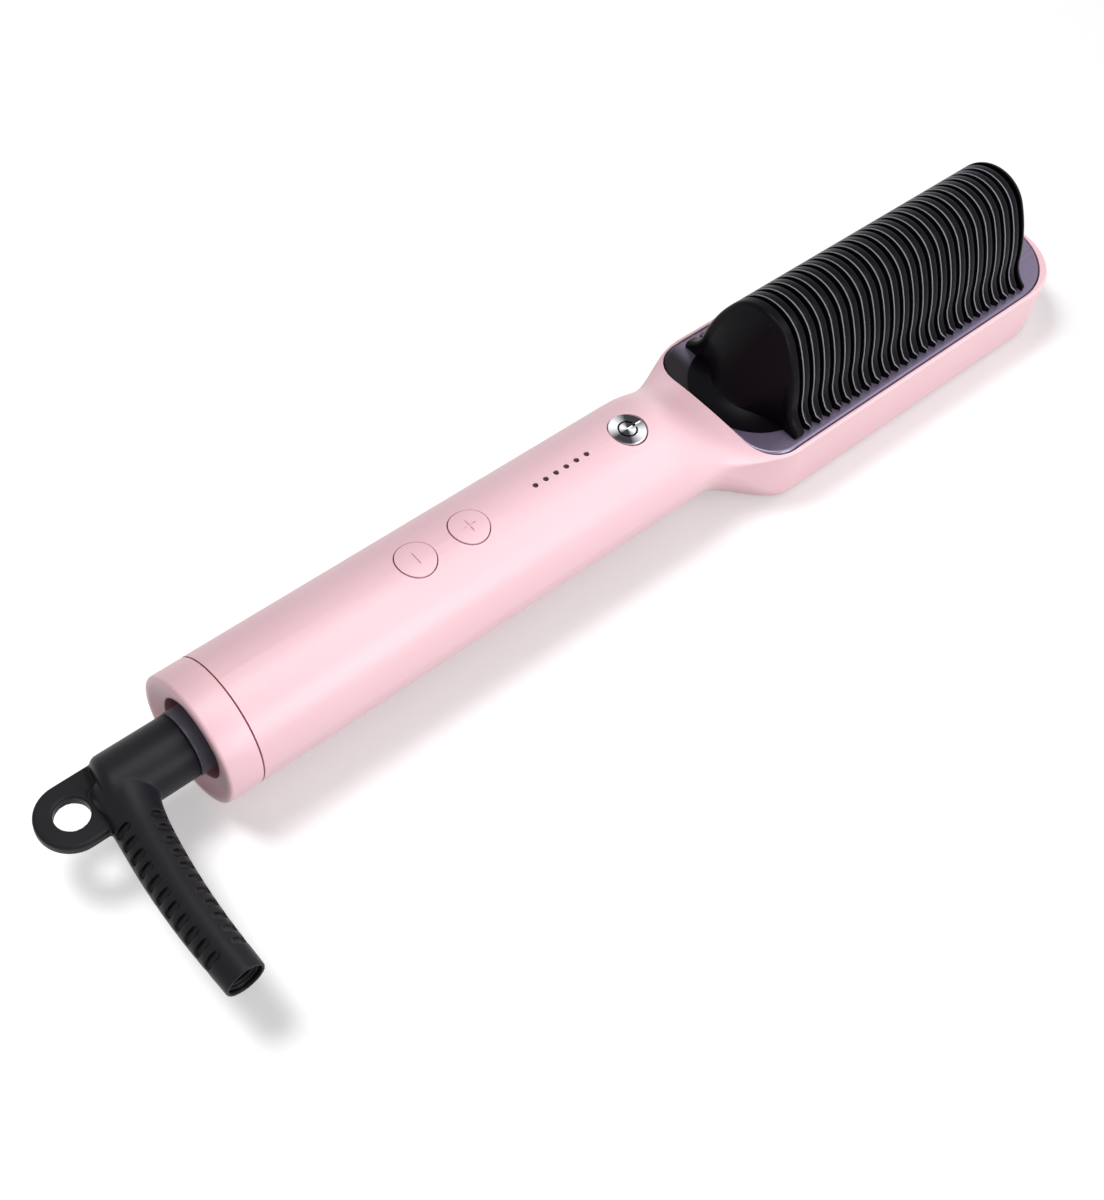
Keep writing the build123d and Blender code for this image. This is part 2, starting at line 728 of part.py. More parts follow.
def end_guard(face, inner, rounding):
    """Solid arch with a rounded outer edge and a dome, which closes one end of the comb."""
    inward = 1 if inner > face else -1
    base = plate_floor - rounding
    with BuildPart() as guard:
        for station in range(guard_stations + 1):
            angle = radians(90 * station / guard_stations)
            with BuildSketch(Plane.YZ.offset(face + inward * rounding * (1 - cos(angle)))):
                add(arch_profile(rounding * (1 - sin(angle)), base))
        loft()
        with BuildSketch(Plane.YZ.offset(inner)):
            add(arch_profile(0, base))
        extrude(amount=face + inward * rounding - inner)
        add(dome(face, -inward, arch_top - plate_top_height - rounding - dome_rim, base))
        add(block(head_start, head_tip, head_half_width, 0, plate_top), mode=Mode.SUBTRACT)
    return guard.part


apron_origin = (near_guard_end + apron_centre, 0, plate_top)

with BuildPart() as apron:
    with BuildSketch(Plane(origin=apron_origin, x_dir=(1, 0, 0), z_dir=(0, -1, 0))):
        with BuildLine():
            ThreePointArc((-apron_radius, apron_edge), (-apron_middle_radius, apron_middle),
                          (-apron_root_radius, apron_root))
            Polyline((-apron_root_radius, apron_root), (0, apron_root), (0, 0), (-apron_radius, 0),
                     (-apron_radius, apron_edge))
        make_face()
    revolve(axis=Axis(apron_origin, (0, 0, 1)))
    add(plan_slab(plate_outline(-plate_edge_radius), plate_top, arch_top), mode=Mode.INTERSECT)
    add(block(near_guard_end, head_tip, head_half_width, 0, axis_height + arch_top), mode=Mode.SUBTRACT)

with BuildPart() as comb_guard:
    add(end_guard(comb_start, near_guard_end, guard_round))
    add(apron.part)
    add(end_guard(comb_end, tip_guard_start, tip_guard_round))
    spine_floor = axis_height + arch_top - tooth_depth
    add(block(near_guard_end, tip_guard_start, spine_half_width, spine_floor, spine_floor + spine_height))
    for number in range(tooth_count):
        start = near_guard_end + tooth_gap + number * (tooth_thickness + tooth_gap)
        with Locations((start + tooth_thickness / 2, 0, 0)):
            add(tooth.part)
    add(upright(small_screw_radius + slip, plate_top, plate_top + comb_screw_bite + slip, comb_screw_places),
        mode=Mode.SUBTRACT)
save(comb_guard.part, "comb_guard")


# --- Circuit board and what it carries ----------------------------------------------------------------------
board_start = minus_x - board_start_offset
board_end = head_start - board_end_setback
switch_top = board_top + switch_height
plunger_top = switch_top + plunger_stand
plunger_floor = switch_top - plunger_grip
plunger_well = plunger_grip + button_travel + free_gap

with BuildPart() as main_board:
    add(block(board_start, board_end, board_half_width, board_floor, board_top))
    add(upright(screw_radius + seat_gap, board_floor, board_top, post_places), mode=Mode.SUBTRACT)
save(main_board.part, "main_board")

save(block(minus_x - capacitor_length / 2, minus_x + capacitor_length / 2, capacitor_half_width,
           board_floor - capacitor_height, board_floor), "film_capacitor")

with BuildPart() as smoothing_capacitor:
    with BuildSketch(Plane.YZ.offset(smoothing_x - smoothing_length / 2)):
        with Locations((0, board_floor - smoothing_radius)):
            Circle(smoothing_radius)
    extrude(amount=smoothing_length)
save(smoothing_capacitor.part, "smoothing_capacitor")

save(block(chip_x - chip_size / 2, chip_x + chip_size / 2, chip_size / 2, board_floor - chip_height, board_floor),
     "microcontroller")

save(block(triac_x - triac_thickness / 2, triac_x + triac_thickness / 2, triac_half_width,
           board_floor - triac_height, board_floor), "triac")

with BuildPart() as indicator_leds:
    for x, y in light_places:
        add(block(x - led_length / 2, x + led_length / 2, led_half_width, board_top, board_top + led_height))
save(indicator_leds.part, "indicator_leds")

with BuildPart() as light_pipe:
    bar_top = axis_height + (inner_radius**2 - light_bar_half_width**2) ** 0.5 - seat_gap
    bar_start = light_places[-1][0] - light_bar_margin
    bar_end = last_light_x + light_bar_margin
    add(block(bar_start, bar_end, light_bar_half_width, bar_top - light_bar_thickness, bar_top))
    add(upright(light_radius, bar_top, handle_top - light_sink, light_places))
save(light_pipe.part, "light_pipe")


# --- Buttons, their plungers and switches -------------------------------------------------------------------
flange_top = axis_height + (inner_radius**2 - button_flange_radius**2) ** 0.5 - free_gap
flange_floor = flange_top - button_flange


def button_blank(x, outer):
    """Button with its flange and stem, cut to the curve of a cylinder about the handle's axis."""
    with BuildPart() as blank:
        add(upright(button_radius, flange_top, handle_top + wall, [(x, 0)]))
        add(turned([(x - button_radius, 0), (x - button_radius, outer), (x + button_radius, outer),
                    (x + button_radius, 0)]), mode=Mode.INTERSECT)
        add(upright(button_flange_radius, flange_floor, flange_top, [(x, 0)]))
        add(upright(stem_radius, plunger_top, flange_floor, [(x, 0)]))
    return blank.part


def sign_bar(x, length, width, top):
    """Cutter for one straight stroke of a sign: length along Y, width along X."""
    return block(x - width / 2, x + width / 2, length / 2, top - sign_depth, top + wall)


signed_top = handle_top + button_proud

with BuildPart() as minus_button:
    add(button_blank(minus_x, handle_radius + button_proud))
    add(sign_bar(minus_x, sign_length, sign_width, signed_top), mode=Mode.SUBTRACT)
save(minus_button.part, "minus_button")

with BuildPart() as plus_button:
    add(button_blank(plus_x, handle_radius + button_proud))
    add(sign_bar(plus_x, sign_length, sign_width, signed_top), mode=Mode.SUBTRACT)
    add(sign_bar(plus_x, sign_width, sign_length, signed_top), mode=Mode.SUBTRACT)
save(plus_button.part, "plus_button")

with BuildPart() as power_button:
    add(button_blank(power_x, 2 * handle_radius))
    with BuildSketch(Plane.XY.offset(power_top)):
        with Locations((power_x, 0)):
            Circle(button_radius)
    extrude(amount=handle_radius, mode=Mode.SUBTRACT)
    fillet(power_button.edges().group_by(Axis.Z)[-1], power_edge_radius)
    with BuildSketch(Plane.XY.offset(power_top)):
        with Locations((power_x, 0)):
            Circle(ring_sign_radius + sign_width / 2)
            Circle(ring_sign_radius - sign_width / 2, mode=Mode.SUBTRACT)
        with Locations((power_x + ring_sign_radius, 0)):
            Rectangle(2 * ring_sign_radius, 3 * sign_width, mode=Mode.SUBTRACT)
            Rectangle(2 * ring_sign_radius, sign_width)
    extrude(amount=-sign_depth, mode=Mode.SUBTRACT)
save(power_button.part, "power_button")

for name, x in (("power", power_x), ("plus", plus_x), ("minus", minus_x)):
    half_switch = switch_size / 2
    with BuildPart() as switch:
        add(block(x - half_switch, x + half_switch, half_switch, board_top, switch_top))
        add(upright(plunger_radius + slip, switch_top - plunger_well, switch_top, [(x, 0)]), mode=Mode.SUBTRACT)
    save(switch.part, f"{name}_switch")
    save(upright(plunger_radius, plunger_floor, plunger_top, [(x, 0)]), f"{name}_plunger")


# --- Screws -------------------------------------------------------------------------------------------------
def screws(places, head_floor, head_height, head_radius, shank_radius, top):
    """Group of screws driven upwards, each with a flat head and a straight shank."""
    with BuildPart() as group:
        add(upright(head_radius, head_floor, head_floor + head_height, places))
        add(upright(shank_radius, head_floor + head_height, top, places))
    return group.part


save(screws(post_places, screw_seat - screw_head_height, screw_head_height, screw_head_radius, screw_radius,
            screw_top), "shell_screws")
save(screws(plate_screw_places, ledge_floor - shield_thickness - small_screw_head_height, small_screw_head_height,
            small_screw_head_radius, small_screw_radius, plate_floor), "plate_screws")
save(screws(comb_screw_places, plate_floor - small_screw_head_height, small_screw_head_height,
            small_screw_head_radius, small_screw_radius, plate_top + comb_screw_bite), "comb_screws")


# --- Heater and what lies under the plate -------------------------------------------------------------------
heater_start = head_start + heater_start_setback
heater_end = heater_start + 2 * heater_length + heater_space
heater_top = pocket_top - mica_thickness
heater_floor = heater_top - heater_thickness
shield_floor = ledge_floor - shield_thickness
sensor_x = head_start + sensor_setback
sensor_z = plate_floor - sensor_radius - seat_gap
fuse_end = heater_start - fuse_wire_length
fuse_z = pocket_top - fuse_radius - seat_gap
slot_end = fuse_end - fuse_length

save(block(heater_start, heater_end, heater_half_width, heater_top, pocket_top), "mica_sheet")

with BuildPart() as ceramic_heaters:
    for start in (heater_start, heater_end - heater_length):
        add(block(start, start + heater_length, heater_half_width, heater_floor, heater_top))
save(ceramic_heaters.part, "ceramic_heaters")

with BuildPart() as heater_clip:
    clip_span = (heater_start + clip_inset, heater_end - clip_inset)
    add(block(*clip_span, heater_half_width, ledge_floor, heater_floor))
    add(block(*clip_span, heater_half_width - clip_wall, 0, heater_floor - clip_wall), mode=Mode.SUBTRACT)
save(heater_clip.part, "heater_clip")

with BuildPart() as heat_shield:
    add(plan_slab(plate_outline(plate_gap - ledge_width + shield_overlap), shield_floor, shield_thickness))
    add(block(slot_end - shield_slot_length, slot_end, heater_half_width, 0, ledge_floor), mode=Mode.SUBTRACT)
    add(upright(small_screw_radius + seat_gap, 0, ledge_floor, plate_screw_places), mode=Mode.SUBTRACT)
    hole_place = (sensor_x - sensor_run - shield_hole_radius, -sensor_side)
    add(upright(shield_hole_radius, 0, ledge_floor, [hole_place]), mode=Mode.SUBTRACT)
save(heat_shield.part, "heat_shield")


def rod(start, end, side, height, radius):
    """Round rod along X."""
    with BuildPart() as made:
        with BuildSketch(Plane.YZ.offset(start)):
            with Locations((side, height)):
                Circle(radius)
        extrude(amount=end - start)
    return made.part


with BuildPart() as thermal_fuse:
    add(rod(fuse_end - fuse_length, fuse_end, fuse_side, fuse_z, fuse_radius))
    add(rod(fuse_end, heater_start, fuse_side, fuse_z, fuse_wire_radius))
save(thermal_fuse.part, "thermal_fuse")
save(rod(sensor_x, sensor_x + sensor_length, -sensor_side, sensor_z, sensor_radius), "temperature_sensor")


# --- Leads held inside the body -----------------------------------------------------------------------------
def lead(points, radius):
    """Insulated lead: straight runs joined by arcs as large as the two runs beside them allow."""
    path = [Vector(*point) for point in points]
    runs = [after - before for before, after in zip(path, path[1:])]
    room = [run.length for run in runs]
    room[0] = 2 * room[0]
    room[-1] = 2 * room[-1]
    bends = []
    for number in range(len(runs) - 1):
        turn = radians(runs[number].get_angle(runs[number + 1]))
        bends.append(bend_share * min(room[number], room[number + 1]) / tan(turn / 2))
    with BuildPart() as tube:
        with BuildLine() as route:
            FilletPolyline(*path, radius=bends)
        with BuildSketch(Plane(origin=path[0], z_dir=path[1] - path[0])):
            Circle(radius)
        sweep(path=route.wires()[0])
    print(f"lead of {route.wires()[0].length:.0f} mm, bends of {min(bends):.1f} mm and more")
    return tube.part


under_board = board_floor - power_lead_radius
below_shield = shield_floor - lead_drop

with BuildPart() as heater_leads:
    for side, end_x in ((1, fuse_end - fuse_length), (-1, heater_start)):
        rise_x = slot_end - shield_slot_length / 2
        add(lead([(board_end - lead_overlap, side * lead_side, under_board),
                  (board_end + lead_overlap, side * lead_side, under_board - 1),
                  (head_start + crest_width, side * (lead_side - 2), below_shield - 1),
                  (rise_x - shield_slot_length, side * fuse_side, below_shield - 1),
                  (rise_x, side * fuse_side, ledge_floor - 1),
                  (rise_x, side * fuse_side, fuse_z),
                  (end_x, side * fuse_side, fuse_z)], power_lead_radius))
save(heater_leads.part, "heater_leads")

with BuildPart() as mains_leads:
    for side in (1, -1):
        brush_z = (holder_floor + holder_top) / 2
        add(lead([(holder_end, side * fuse_side, brush_z),
                  (holder_end + lead_overlap, side * fuse_side, brush_z),
                  (board_start - power_lead_radius, side * lead_side, (brush_z + under_board) / 2),
                  (board_start + lead_overlap, side * lead_side, under_board),
                  (board_start + 2 * lead_overlap, side * lead_side, under_board)], power_lead_radius))
save(mains_leads.part, "mains_leads")

with BuildPart() as sensor_leads:
    for offset in (-sensor_lead_space / 2, sensor_lead_space / 2):
        y = offset - sensor_side
        add(lead([(board_end - lead_overlap, y, board_floor - sensor_lead_radius),
                  (board_end + lead_overlap, y, board_floor - 2),
                  (head_start + crest_width, y, below_shield),
                  (sensor_x - 2 * sensor_run, y, below_shield),
                  (sensor_x - sensor_run, y, sensor_z),
                  (sensor_x, y, sensor_z)], sensor_lead_radius))
save(sensor_leads.part, "sensor_leads")
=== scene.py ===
# %% [markdown]
# # A hot comb, dressed for a picture
# A hot comb straightens hair: its arched teeth draw the hair over a heated plate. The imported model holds
# every moulding, screw and wire at its true size, in metres, with the comb's long axis along X and its
# teeth up along Z. All of it could be modelled again here, but then nothing would promise that the
# pieces still fit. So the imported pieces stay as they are, and this script adds what a CAD model lacks:
# softened edges, real finishes, soft light and a camera.

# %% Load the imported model
import json
import math

import bmesh
import bpy
from mathutils import Matrix, Vector
from mathutils.bvhtree import BVHTree


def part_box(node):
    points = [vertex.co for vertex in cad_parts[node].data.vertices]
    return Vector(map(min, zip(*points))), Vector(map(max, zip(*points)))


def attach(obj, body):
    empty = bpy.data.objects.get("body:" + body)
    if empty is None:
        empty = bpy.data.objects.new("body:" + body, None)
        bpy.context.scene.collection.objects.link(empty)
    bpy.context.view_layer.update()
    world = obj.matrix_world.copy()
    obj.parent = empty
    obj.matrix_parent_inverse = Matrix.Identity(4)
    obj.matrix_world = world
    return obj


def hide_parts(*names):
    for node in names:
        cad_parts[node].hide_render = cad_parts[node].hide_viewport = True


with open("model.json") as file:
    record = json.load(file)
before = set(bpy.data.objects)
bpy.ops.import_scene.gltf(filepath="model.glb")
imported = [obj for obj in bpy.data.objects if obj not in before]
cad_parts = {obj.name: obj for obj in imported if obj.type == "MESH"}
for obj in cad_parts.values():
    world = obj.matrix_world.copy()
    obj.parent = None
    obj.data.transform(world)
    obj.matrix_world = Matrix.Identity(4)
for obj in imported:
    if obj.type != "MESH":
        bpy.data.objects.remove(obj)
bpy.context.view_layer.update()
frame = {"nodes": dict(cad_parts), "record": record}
nodes = frame["nodes"]
scene = bpy.context.scene
MM = 0.001
print("pieces in the packed model:", len(nodes))

# %% [markdown]
# ## The camera
# The comb is seen from above and behind its cord end, through a normal lens. A camera could be turned by
# three angles, but those are hard to read and to check. Here its place and its three directions are
# plain vectors: where the picture's right side, its top and the camera's back point. They become the
# columns of its matrix. A tiny shift of the lens then centres the comb without turning the camera.

# %% Camera
CAMERA_PLACE = Vector((-326.1, -167.5, 337.5)) * MM
VIEW_RIGHT = Vector((0.7384, -0.6633, 0.1216))
VIEW_UP = Vector((0.4871, 0.6493, 0.5842))
VIEW_BACK = Vector((-0.4665, -0.3721, 0.8025))

camera_data = bpy.data.cameras.new("product_camera")
camera_data.sensor_fit = "VERTICAL"
camera_data.sensor_height = 36.0
camera_data.lens = 49.25
camera_data.shift_x = 0.0009
camera_data.shift_y = -0.0037
camera = bpy.data.objects.new("product_camera", camera_data)
turn = Matrix((VIEW_RIGHT, VIEW_UP, VIEW_BACK)).transposed().to_4x4()
camera.matrix_world = Matrix.Translation(CAMERA_PLACE) @ turn
scene.collection.objects.link(camera)
scene.camera = camera
print("camera height above the table:", round(camera.location.z, 3), "m")

# %% [markdown]
# ## Light all round
# Small glossy goods are lit in a white tent: light comes from everywhere, so that forms read and shadows
# stay soft. The tent could be four walls of mesh, but the world does the same with nothing to hide from
# the camera. To a camera, to a mirror and to glass it is plain white, so that metal shows a white
# studio. It lights the comb more faintly than that, so that the lamps still shape it.

# %% World
scene.view_settings.view_transform = "Standard"
world = bpy.data.worlds.new("white_tent")
scene.world = world
world.use_nodes = True
tree = world.node_tree
tree.nodes.clear()


def add_node(tree, kind, settings=None, links=None):
    """Add one node, set its plain values by socket name, and feed its inputs from other sockets."""
    node = tree.nodes.new(kind)
    for name, value in (settings or {}).items():
        if isinstance(name, int) or name in node.inputs:
            node.inputs[name].default_value = value
        else:
            setattr(node, name, value)
    for name, socket in (links or {}).items():
        tree.links.new(socket, node.inputs[name])
    return node


def background_rays(tree):
    """1 for rays that should see the plain white background: from the camera, a mirror or glass."""
    kind = add_node(tree, "ShaderNodeLightPath")
    mirrored = add_node(tree, "ShaderNodeMath", {"operation": "MAXIMUM"},
                        {0: kind.outputs["Is Glossy Ray"], 1: kind.outputs["Is Transmission Ray"]})
    seen = add_node(tree, "ShaderNodeMath", {"operation": "MAXIMUM"},
                    {0: kind.outputs["Is Camera Ray"], 1: mirrored.outputs[0]})
    return seen.outputs[0]


TENT_LIGHT = 0.30
WHITE = (1, 1, 1, 1)
tent = add_node(tree, "ShaderNodeBackground", {"Color": WHITE, "Strength": TENT_LIGHT})
backdrop = add_node(tree, "ShaderNodeBackground", {"Color": WHITE, "Strength": 1.0})
mixed = add_node(tree, "ShaderNodeMixShader", {},
                 {0: background_rays(tree), 1: tent.outputs[0], 2: backdrop.outputs[0]})
add_node(tree, "ShaderNodeOutputWorld", {}, {"Surface": mixed.outputs[0]})
print("tent light:", TENT_LIGHT)

# %% [markdown]
# ## Lamps
# Four square lamps work as softboxes do. The top lamp lights the upper half of the handle, the shoulder
# lamp stands low on the near side and lights its flank, and the band lamp puts a broad pale band along
# it. The paper lamp lights only the table, from the far side, so that one soft shadow falls on the near
# side of the comb. A lamp's power could be found by trying. Here it follows from the strength that it
# should have at the comb: a white surface that faces a lamp of strength 1 is white, so a colour comes
# out about as it is written.

# %% Lamps
LIT_POINT = Vector((-0.08, 0, 0.02))  # near the middle of the comb
SOFTBOXES = {  # place, side of the square and strength; lengths in metres
    "top_lamp": (Vector((-0.06, -0.02, 0.62)), 0.34, 0.46),
    "shoulder_lamp": (Vector((0.14, -0.86, 0.38)), 0.5, 0.47),
    "band_lamp": (Vector((0.36, -0.46, 0.78)), 0.5, 0.26),
    "paper_lamp": (Vector((-0.42, 0.38, 0.95)), 0.36, 0.58),
}


def area_lamp(name, place, size, strength):
    """A square lamp at a place, facing the comb, with its strength given there."""
    way = LIT_POINT - place
    data = bpy.data.lights.new(name, "AREA")
    data.shape = "SQUARE"
    data.size = size
    data.energy = strength * math.pi**2 * way.length_squared
    lamp = bpy.data.objects.new(name, data)
    lamp.matrix_world = Matrix.Translation(place) @ way.to_track_quat("-Z", "Y").to_matrix().to_4x4()
    scene.collection.objects.link(lamp)
    print(name, "power:", round(data.energy, 2), "W")
    return lamp


lamps = [area_lamp(name, *softbox) for name, softbox in SOFTBOXES.items()]

# %% [markdown]
# ## Colours
# Colours are written as the sRGB hex codes of a colour chart. They could be typed as linear numbers, but
# nobody reads a colour from those. A renderer mixes light linearly, so one function turns a code into
# linear values.


# %% Hex to linear
def linear(code):
    """Linear RGBA from an sRGB code such as #f4c2cc: straight near black, a power curve above."""
    channels = [int(code[start:start + 2], 16) / 255 for start in (1, 3, 5)]
    return tuple(c / 12.92 if c <= 0.04045 else ((c + 0.055) / 1.055) ** 2.4 for c in channels) + (1.0,)


def new_material(name):
    """An empty node material, its tree, and the piece's own coordinates, which are in metres."""
    material = bpy.data.materials.new(name)
    material.use_nodes = True
    tree = material.node_tree
    tree.nodes.clear()
    print("material:", name)
    return material, tree, add_node(tree, "ShaderNodeTexCoord").outputs["Object"]


print("mid grey #808080 in linear light:", round(linear("#808080")[0], 3))

# %% [markdown]
# ## The table
# The comb lies on white paper. Uncoated paper scatters light evenly, so it is rough and has no gloss,
# and its fibres gather in faint clouds about 4 mm wide. Under all four lamps it would burn out and show
# four shadows. A studio keeps a lamp off the paper with a flag; light linking does the same here, with
# one small collection for each lamp that says whether its light reaches the table. The paper also glows
# a little, for the camera, mirrors and glass alone: that lifts it to plain white outside the shadow, and
# more so far away, where the lamp fades.

# %% Table top
TABLE_REACH = 3.0  # metres each way from the origin
TABLE_DROP = 0.2 * MM  # keeps the paper just under the comb's flat back
GLOW_PLACES = (0.3, 1.0)  # metres from the origin
GLOW_STRENGTHS = (0.37, 0.8)
table_mesh = bpy.data.meshes.new("table_top")
corners = [(x * TABLE_REACH, y * TABLE_REACH, 0) for x, y in ((-1, -1), (1, -1), (1, 1), (-1, 1))]
table_mesh.from_pydata(corners, [], [(0, 1, 2, 3)])
table_top = bpy.data.objects.new("table_top", table_mesh)
table_top.location.z = -TABLE_DROP
scene.collection.objects.link(table_top)

paper, tree, place = new_material("white_paper")
fibres = add_node(tree, "ShaderNodeTexNoise", {"Scale": 1 / (4 * MM)}, {"Vector": place})
paper_tone = add_node(tree, "ShaderNodeMix",
                      {"data_type": "RGBA", 6: linear("#f7f7f7"), 7: linear("#fbfbfb")},
                      {0: fibres.outputs["Fac"]})
shade = add_node(tree, "ShaderNodeBsdfPrincipled", {"Roughness": 0.9, "Specular IOR Level": 0.0},
                 {"Base Color": paper_tone.outputs[2]})
distance = add_node(tree, "ShaderNodeVectorMath", {"operation": "LENGTH"}, {0: place})
glow = add_node(tree, "ShaderNodeMapRange",
                {"interpolation_type": "SMOOTHSTEP", "From Min": GLOW_PLACES[0], "From Max": GLOW_PLACES[1],
                 "To Min": GLOW_STRENGTHS[0], "To Max": GLOW_STRENGTHS[1]},
                {"Value": distance.outputs["Value"]})
lift = add_node(tree, "ShaderNodeEmission", {"Color": WHITE}, {"Strength": glow.outputs[0]})
seen_lift = add_node(tree, "ShaderNodeMixShader", {}, {0: background_rays(tree), 2: lift.outputs[0]})
both = add_node(tree, "ShaderNodeAddShader", {}, {0: shade.outputs[0], 1: seen_lift.outputs[0]})
add_node(tree, "ShaderNodeOutputMaterial", {}, {"Surface": both.outputs[0]})
table_mesh.materials.append(paper)

# %% Which lamps reach the table
for lamp in lamps:
    linked = bpy.data.collections.new("paper_and_" + lamp.name)
    linked.objects.link(table_top)
    lamp.light_linking.receiver_collection = linked
    state = "INCLUDE" if lamp.name == "paper_lamp" else "EXCLUDE"
    linked.collection_objects[0].light_linking.link_state = state
    print(lamp.name, "and the table:", state)

# %% [markdown]
# ## Pink mouldings
# The shells, the cap and two of the buttons are ABS, moulded in colour in a finely etched mould. The
# etching gives a satin look, with a roughness near 0.4 and a very shallow grain. Such a grain is finer
# than a picture of the whole comb can show, so it is drawn 0.35 mm wide. ABS has an index of refraction
# of 1.54. Its pigment drifts a little over some 35 mm, as it does where the melt flows. Light that
# enters a recess bounces between pink walls and leaves it a deeper red. More bounces of light would show
# only part of that, so this shade is painted into the colour: a piece may carry a number that says where
# to paint it, as a deeper red. Where a piece has no such number, it reads as 0.


# %% Pink ABS
def pink_abs():
    """Satin moulded ABS, with painted shade, a deeper red, where the piece's number asks for it."""
    material, tree, place = new_material("satin_pink_abs")
    drift = add_node(tree, "ShaderNodeTexNoise", {"Scale": 1 / (35 * MM), "Detail": 1.0}, {"Vector": place})
    tone = add_node(tree, "ShaderNodeMix",
                    {"data_type": "RGBA", 6: linear("#ecc0c9"), 7: linear("#efc8d0")},
                    {0: drift.outputs["Fac"]})
    # Painted shade: a deeper red that stands in for light bouncing in recesses, where the piece asks for it.
    hollow = add_node(tree, "ShaderNodeAttribute", {"attribute_name": "hollow"})
    shaded_tone = add_node(tree, "ShaderNodeMix", {"data_type": "RGBA", 7: linear("#a53c50")},
                     {0: hollow.outputs["Fac"], 6: tone.outputs[2]})
    grain = add_node(tree, "ShaderNodeTexNoise", {"Scale": 1 / (0.35 * MM), "Detail": 2.0},
                     {"Vector": place})
    satin = add_node(tree, "ShaderNodeMapRange", {"To Min": 0.32, "To Max": 0.42}, {0: grain.outputs["Fac"]})
    dimple = add_node(tree, "ShaderNodeBump", {"Strength": 0.04, "Distance": 0.05 * MM},
                      {"Height": grain.outputs["Fac"]})
    shell = add_node(tree, "ShaderNodeBsdfPrincipled", {"IOR": 1.54, "Specular IOR Level": 0.5},
                     {"Base Color": shaded_tone.outputs[2], "Roughness": satin.outputs[0],
                      "Normal": dimple.outputs[0]})
    add_node(tree, "ShaderNodeOutputMaterial", {}, {"Surface": shell.outputs[0]})
    return material


looks = {"pink_shell": pink_abs()}

# %% [markdown]
# ## Black nylon
# The comb is glass-filled nylon, which stands the plate's heat: nearly black with a hint of violet, and
# smooth enough to shine. In a white tent a full shine turns black to grey, so its specular level is low.
# The teeth's edges on the side of the handle catch a fine pale line of light. A narrow lamp could draw
# that line, but it would fade in other light, so it is a painted highlight: the teeth carry a number
# that says where it runs. Glass fibres are far finer than they could show, so their mottle is drawn half
# a millimetre wide.


# %% Glass-filled nylon
def black_nylon():
    """Dark moulded nylon, with a painted pale highlight where the piece marks its edges."""
    material, tree, place = new_material("glass_filled_black_nylon")
    fibres = add_node(tree, "ShaderNodeTexNoise", {"Scale": 1 / (0.5 * MM), "Detail": 3.0},
                      {"Vector": place})
    body = add_node(tree, "ShaderNodeMix",
                    {"data_type": "RGBA", 6: linear("#09070b"), 7: linear("#0f0c12")},
                    {0: fibres.outputs["Fac"]})
    # Painted highlight: a pale line on the edges that the piece marks.
    edge = add_node(tree, "ShaderNodeAttribute", {"attribute_name": "polished_edge"})
    tone = add_node(tree, "ShaderNodeMix", {"data_type": "RGBA", 7: linear("#95939f")},
                    {0: edge.outputs["Fac"], 6: body.outputs[2]})
    gloss = add_node(tree, "ShaderNodeMapRange", {"To Min": 0.24, "To Max": 0.34},
                     {0: fibres.outputs["Fac"]})
    comb = add_node(tree, "ShaderNodeBsdfPrincipled", {"IOR": 1.53, "Specular IOR Level": 0.05},
                    {"Base Color": tone.outputs[2], "Roughness": gloss.outputs[0]})
    add_node(tree, "ShaderNodeOutputMaterial", {}, {"Surface": comb.outputs[0]})
    return material


looks["black_comb"] = black_nylon()

# %% [markdown]
# ## Black rubber
# The cord's boot is a moulded thermoplastic rubber. Its skin is matt and faintly porous, and a bloom
# lightens it in patches about 6 mm wide. Pores could be real dents, at millions of faces; a bump is
# enough for something so shallow. Real pores are finer than the 0.3 mm used here, which is the least
# that shows. The slots of the strain relief swallow light, so shade is painted into them: a number on
# the piece turns them black.


# %% Thermoplastic rubber
def black_rubber():
    """Matt porous rubber, with painted shade, down to black, where the piece's number asks for it."""
    material, tree, place = new_material("black_thermoplastic_rubber")
    bloom = add_node(tree, "ShaderNodeTexNoise", {"Scale": 1 / (6 * MM), "Detail": 3.0}, {"Vector": place})
    tone = add_node(tree, "ShaderNodeMix",
                    {"data_type": "RGBA", 6: linear("#1b1a1e"), 7: linear("#232227")},
                    {0: bloom.outputs["Fac"]})
    # Painted shade: black in the slots, where the piece's number asks for it.
    hollow = add_node(tree, "ShaderNodeAttribute", {"attribute_name": "hollow"})
    shaded_tone = add_node(tree, "ShaderNodeMix", {"data_type": "RGBA", 7: linear("#020202")},
                     {0: hollow.outputs["Fac"], 6: tone.outputs[2]})
    grain = add_node(tree, "ShaderNodeTexNoise", {"Scale": 1 / (0.3 * MM), "Detail": 1.0}, {"Vector": place})
    matt = add_node(tree, "ShaderNodeMapRange", {"To Min": 0.32, "To Max": 0.46}, {0: grain.outputs["Fac"]})
    pores = add_node(tree, "ShaderNodeBump", {"Strength": 0.25, "Distance": 0.04 * MM},
                     {"Height": grain.outputs["Fac"]})
    boot = add_node(tree, "ShaderNodeBsdfPrincipled", {"IOR": 1.5, "Specular IOR Level": 0.12},
                    {"Base Color": shaded_tone.outputs[2], "Roughness": matt.outputs[0],
                     "Normal": pores.outputs[0]})
    add_node(tree, "ShaderNodeOutputMaterial", {}, {"Surface": boot.outputs[0]})
    return material


looks["boot_rubber"] = black_rubber()
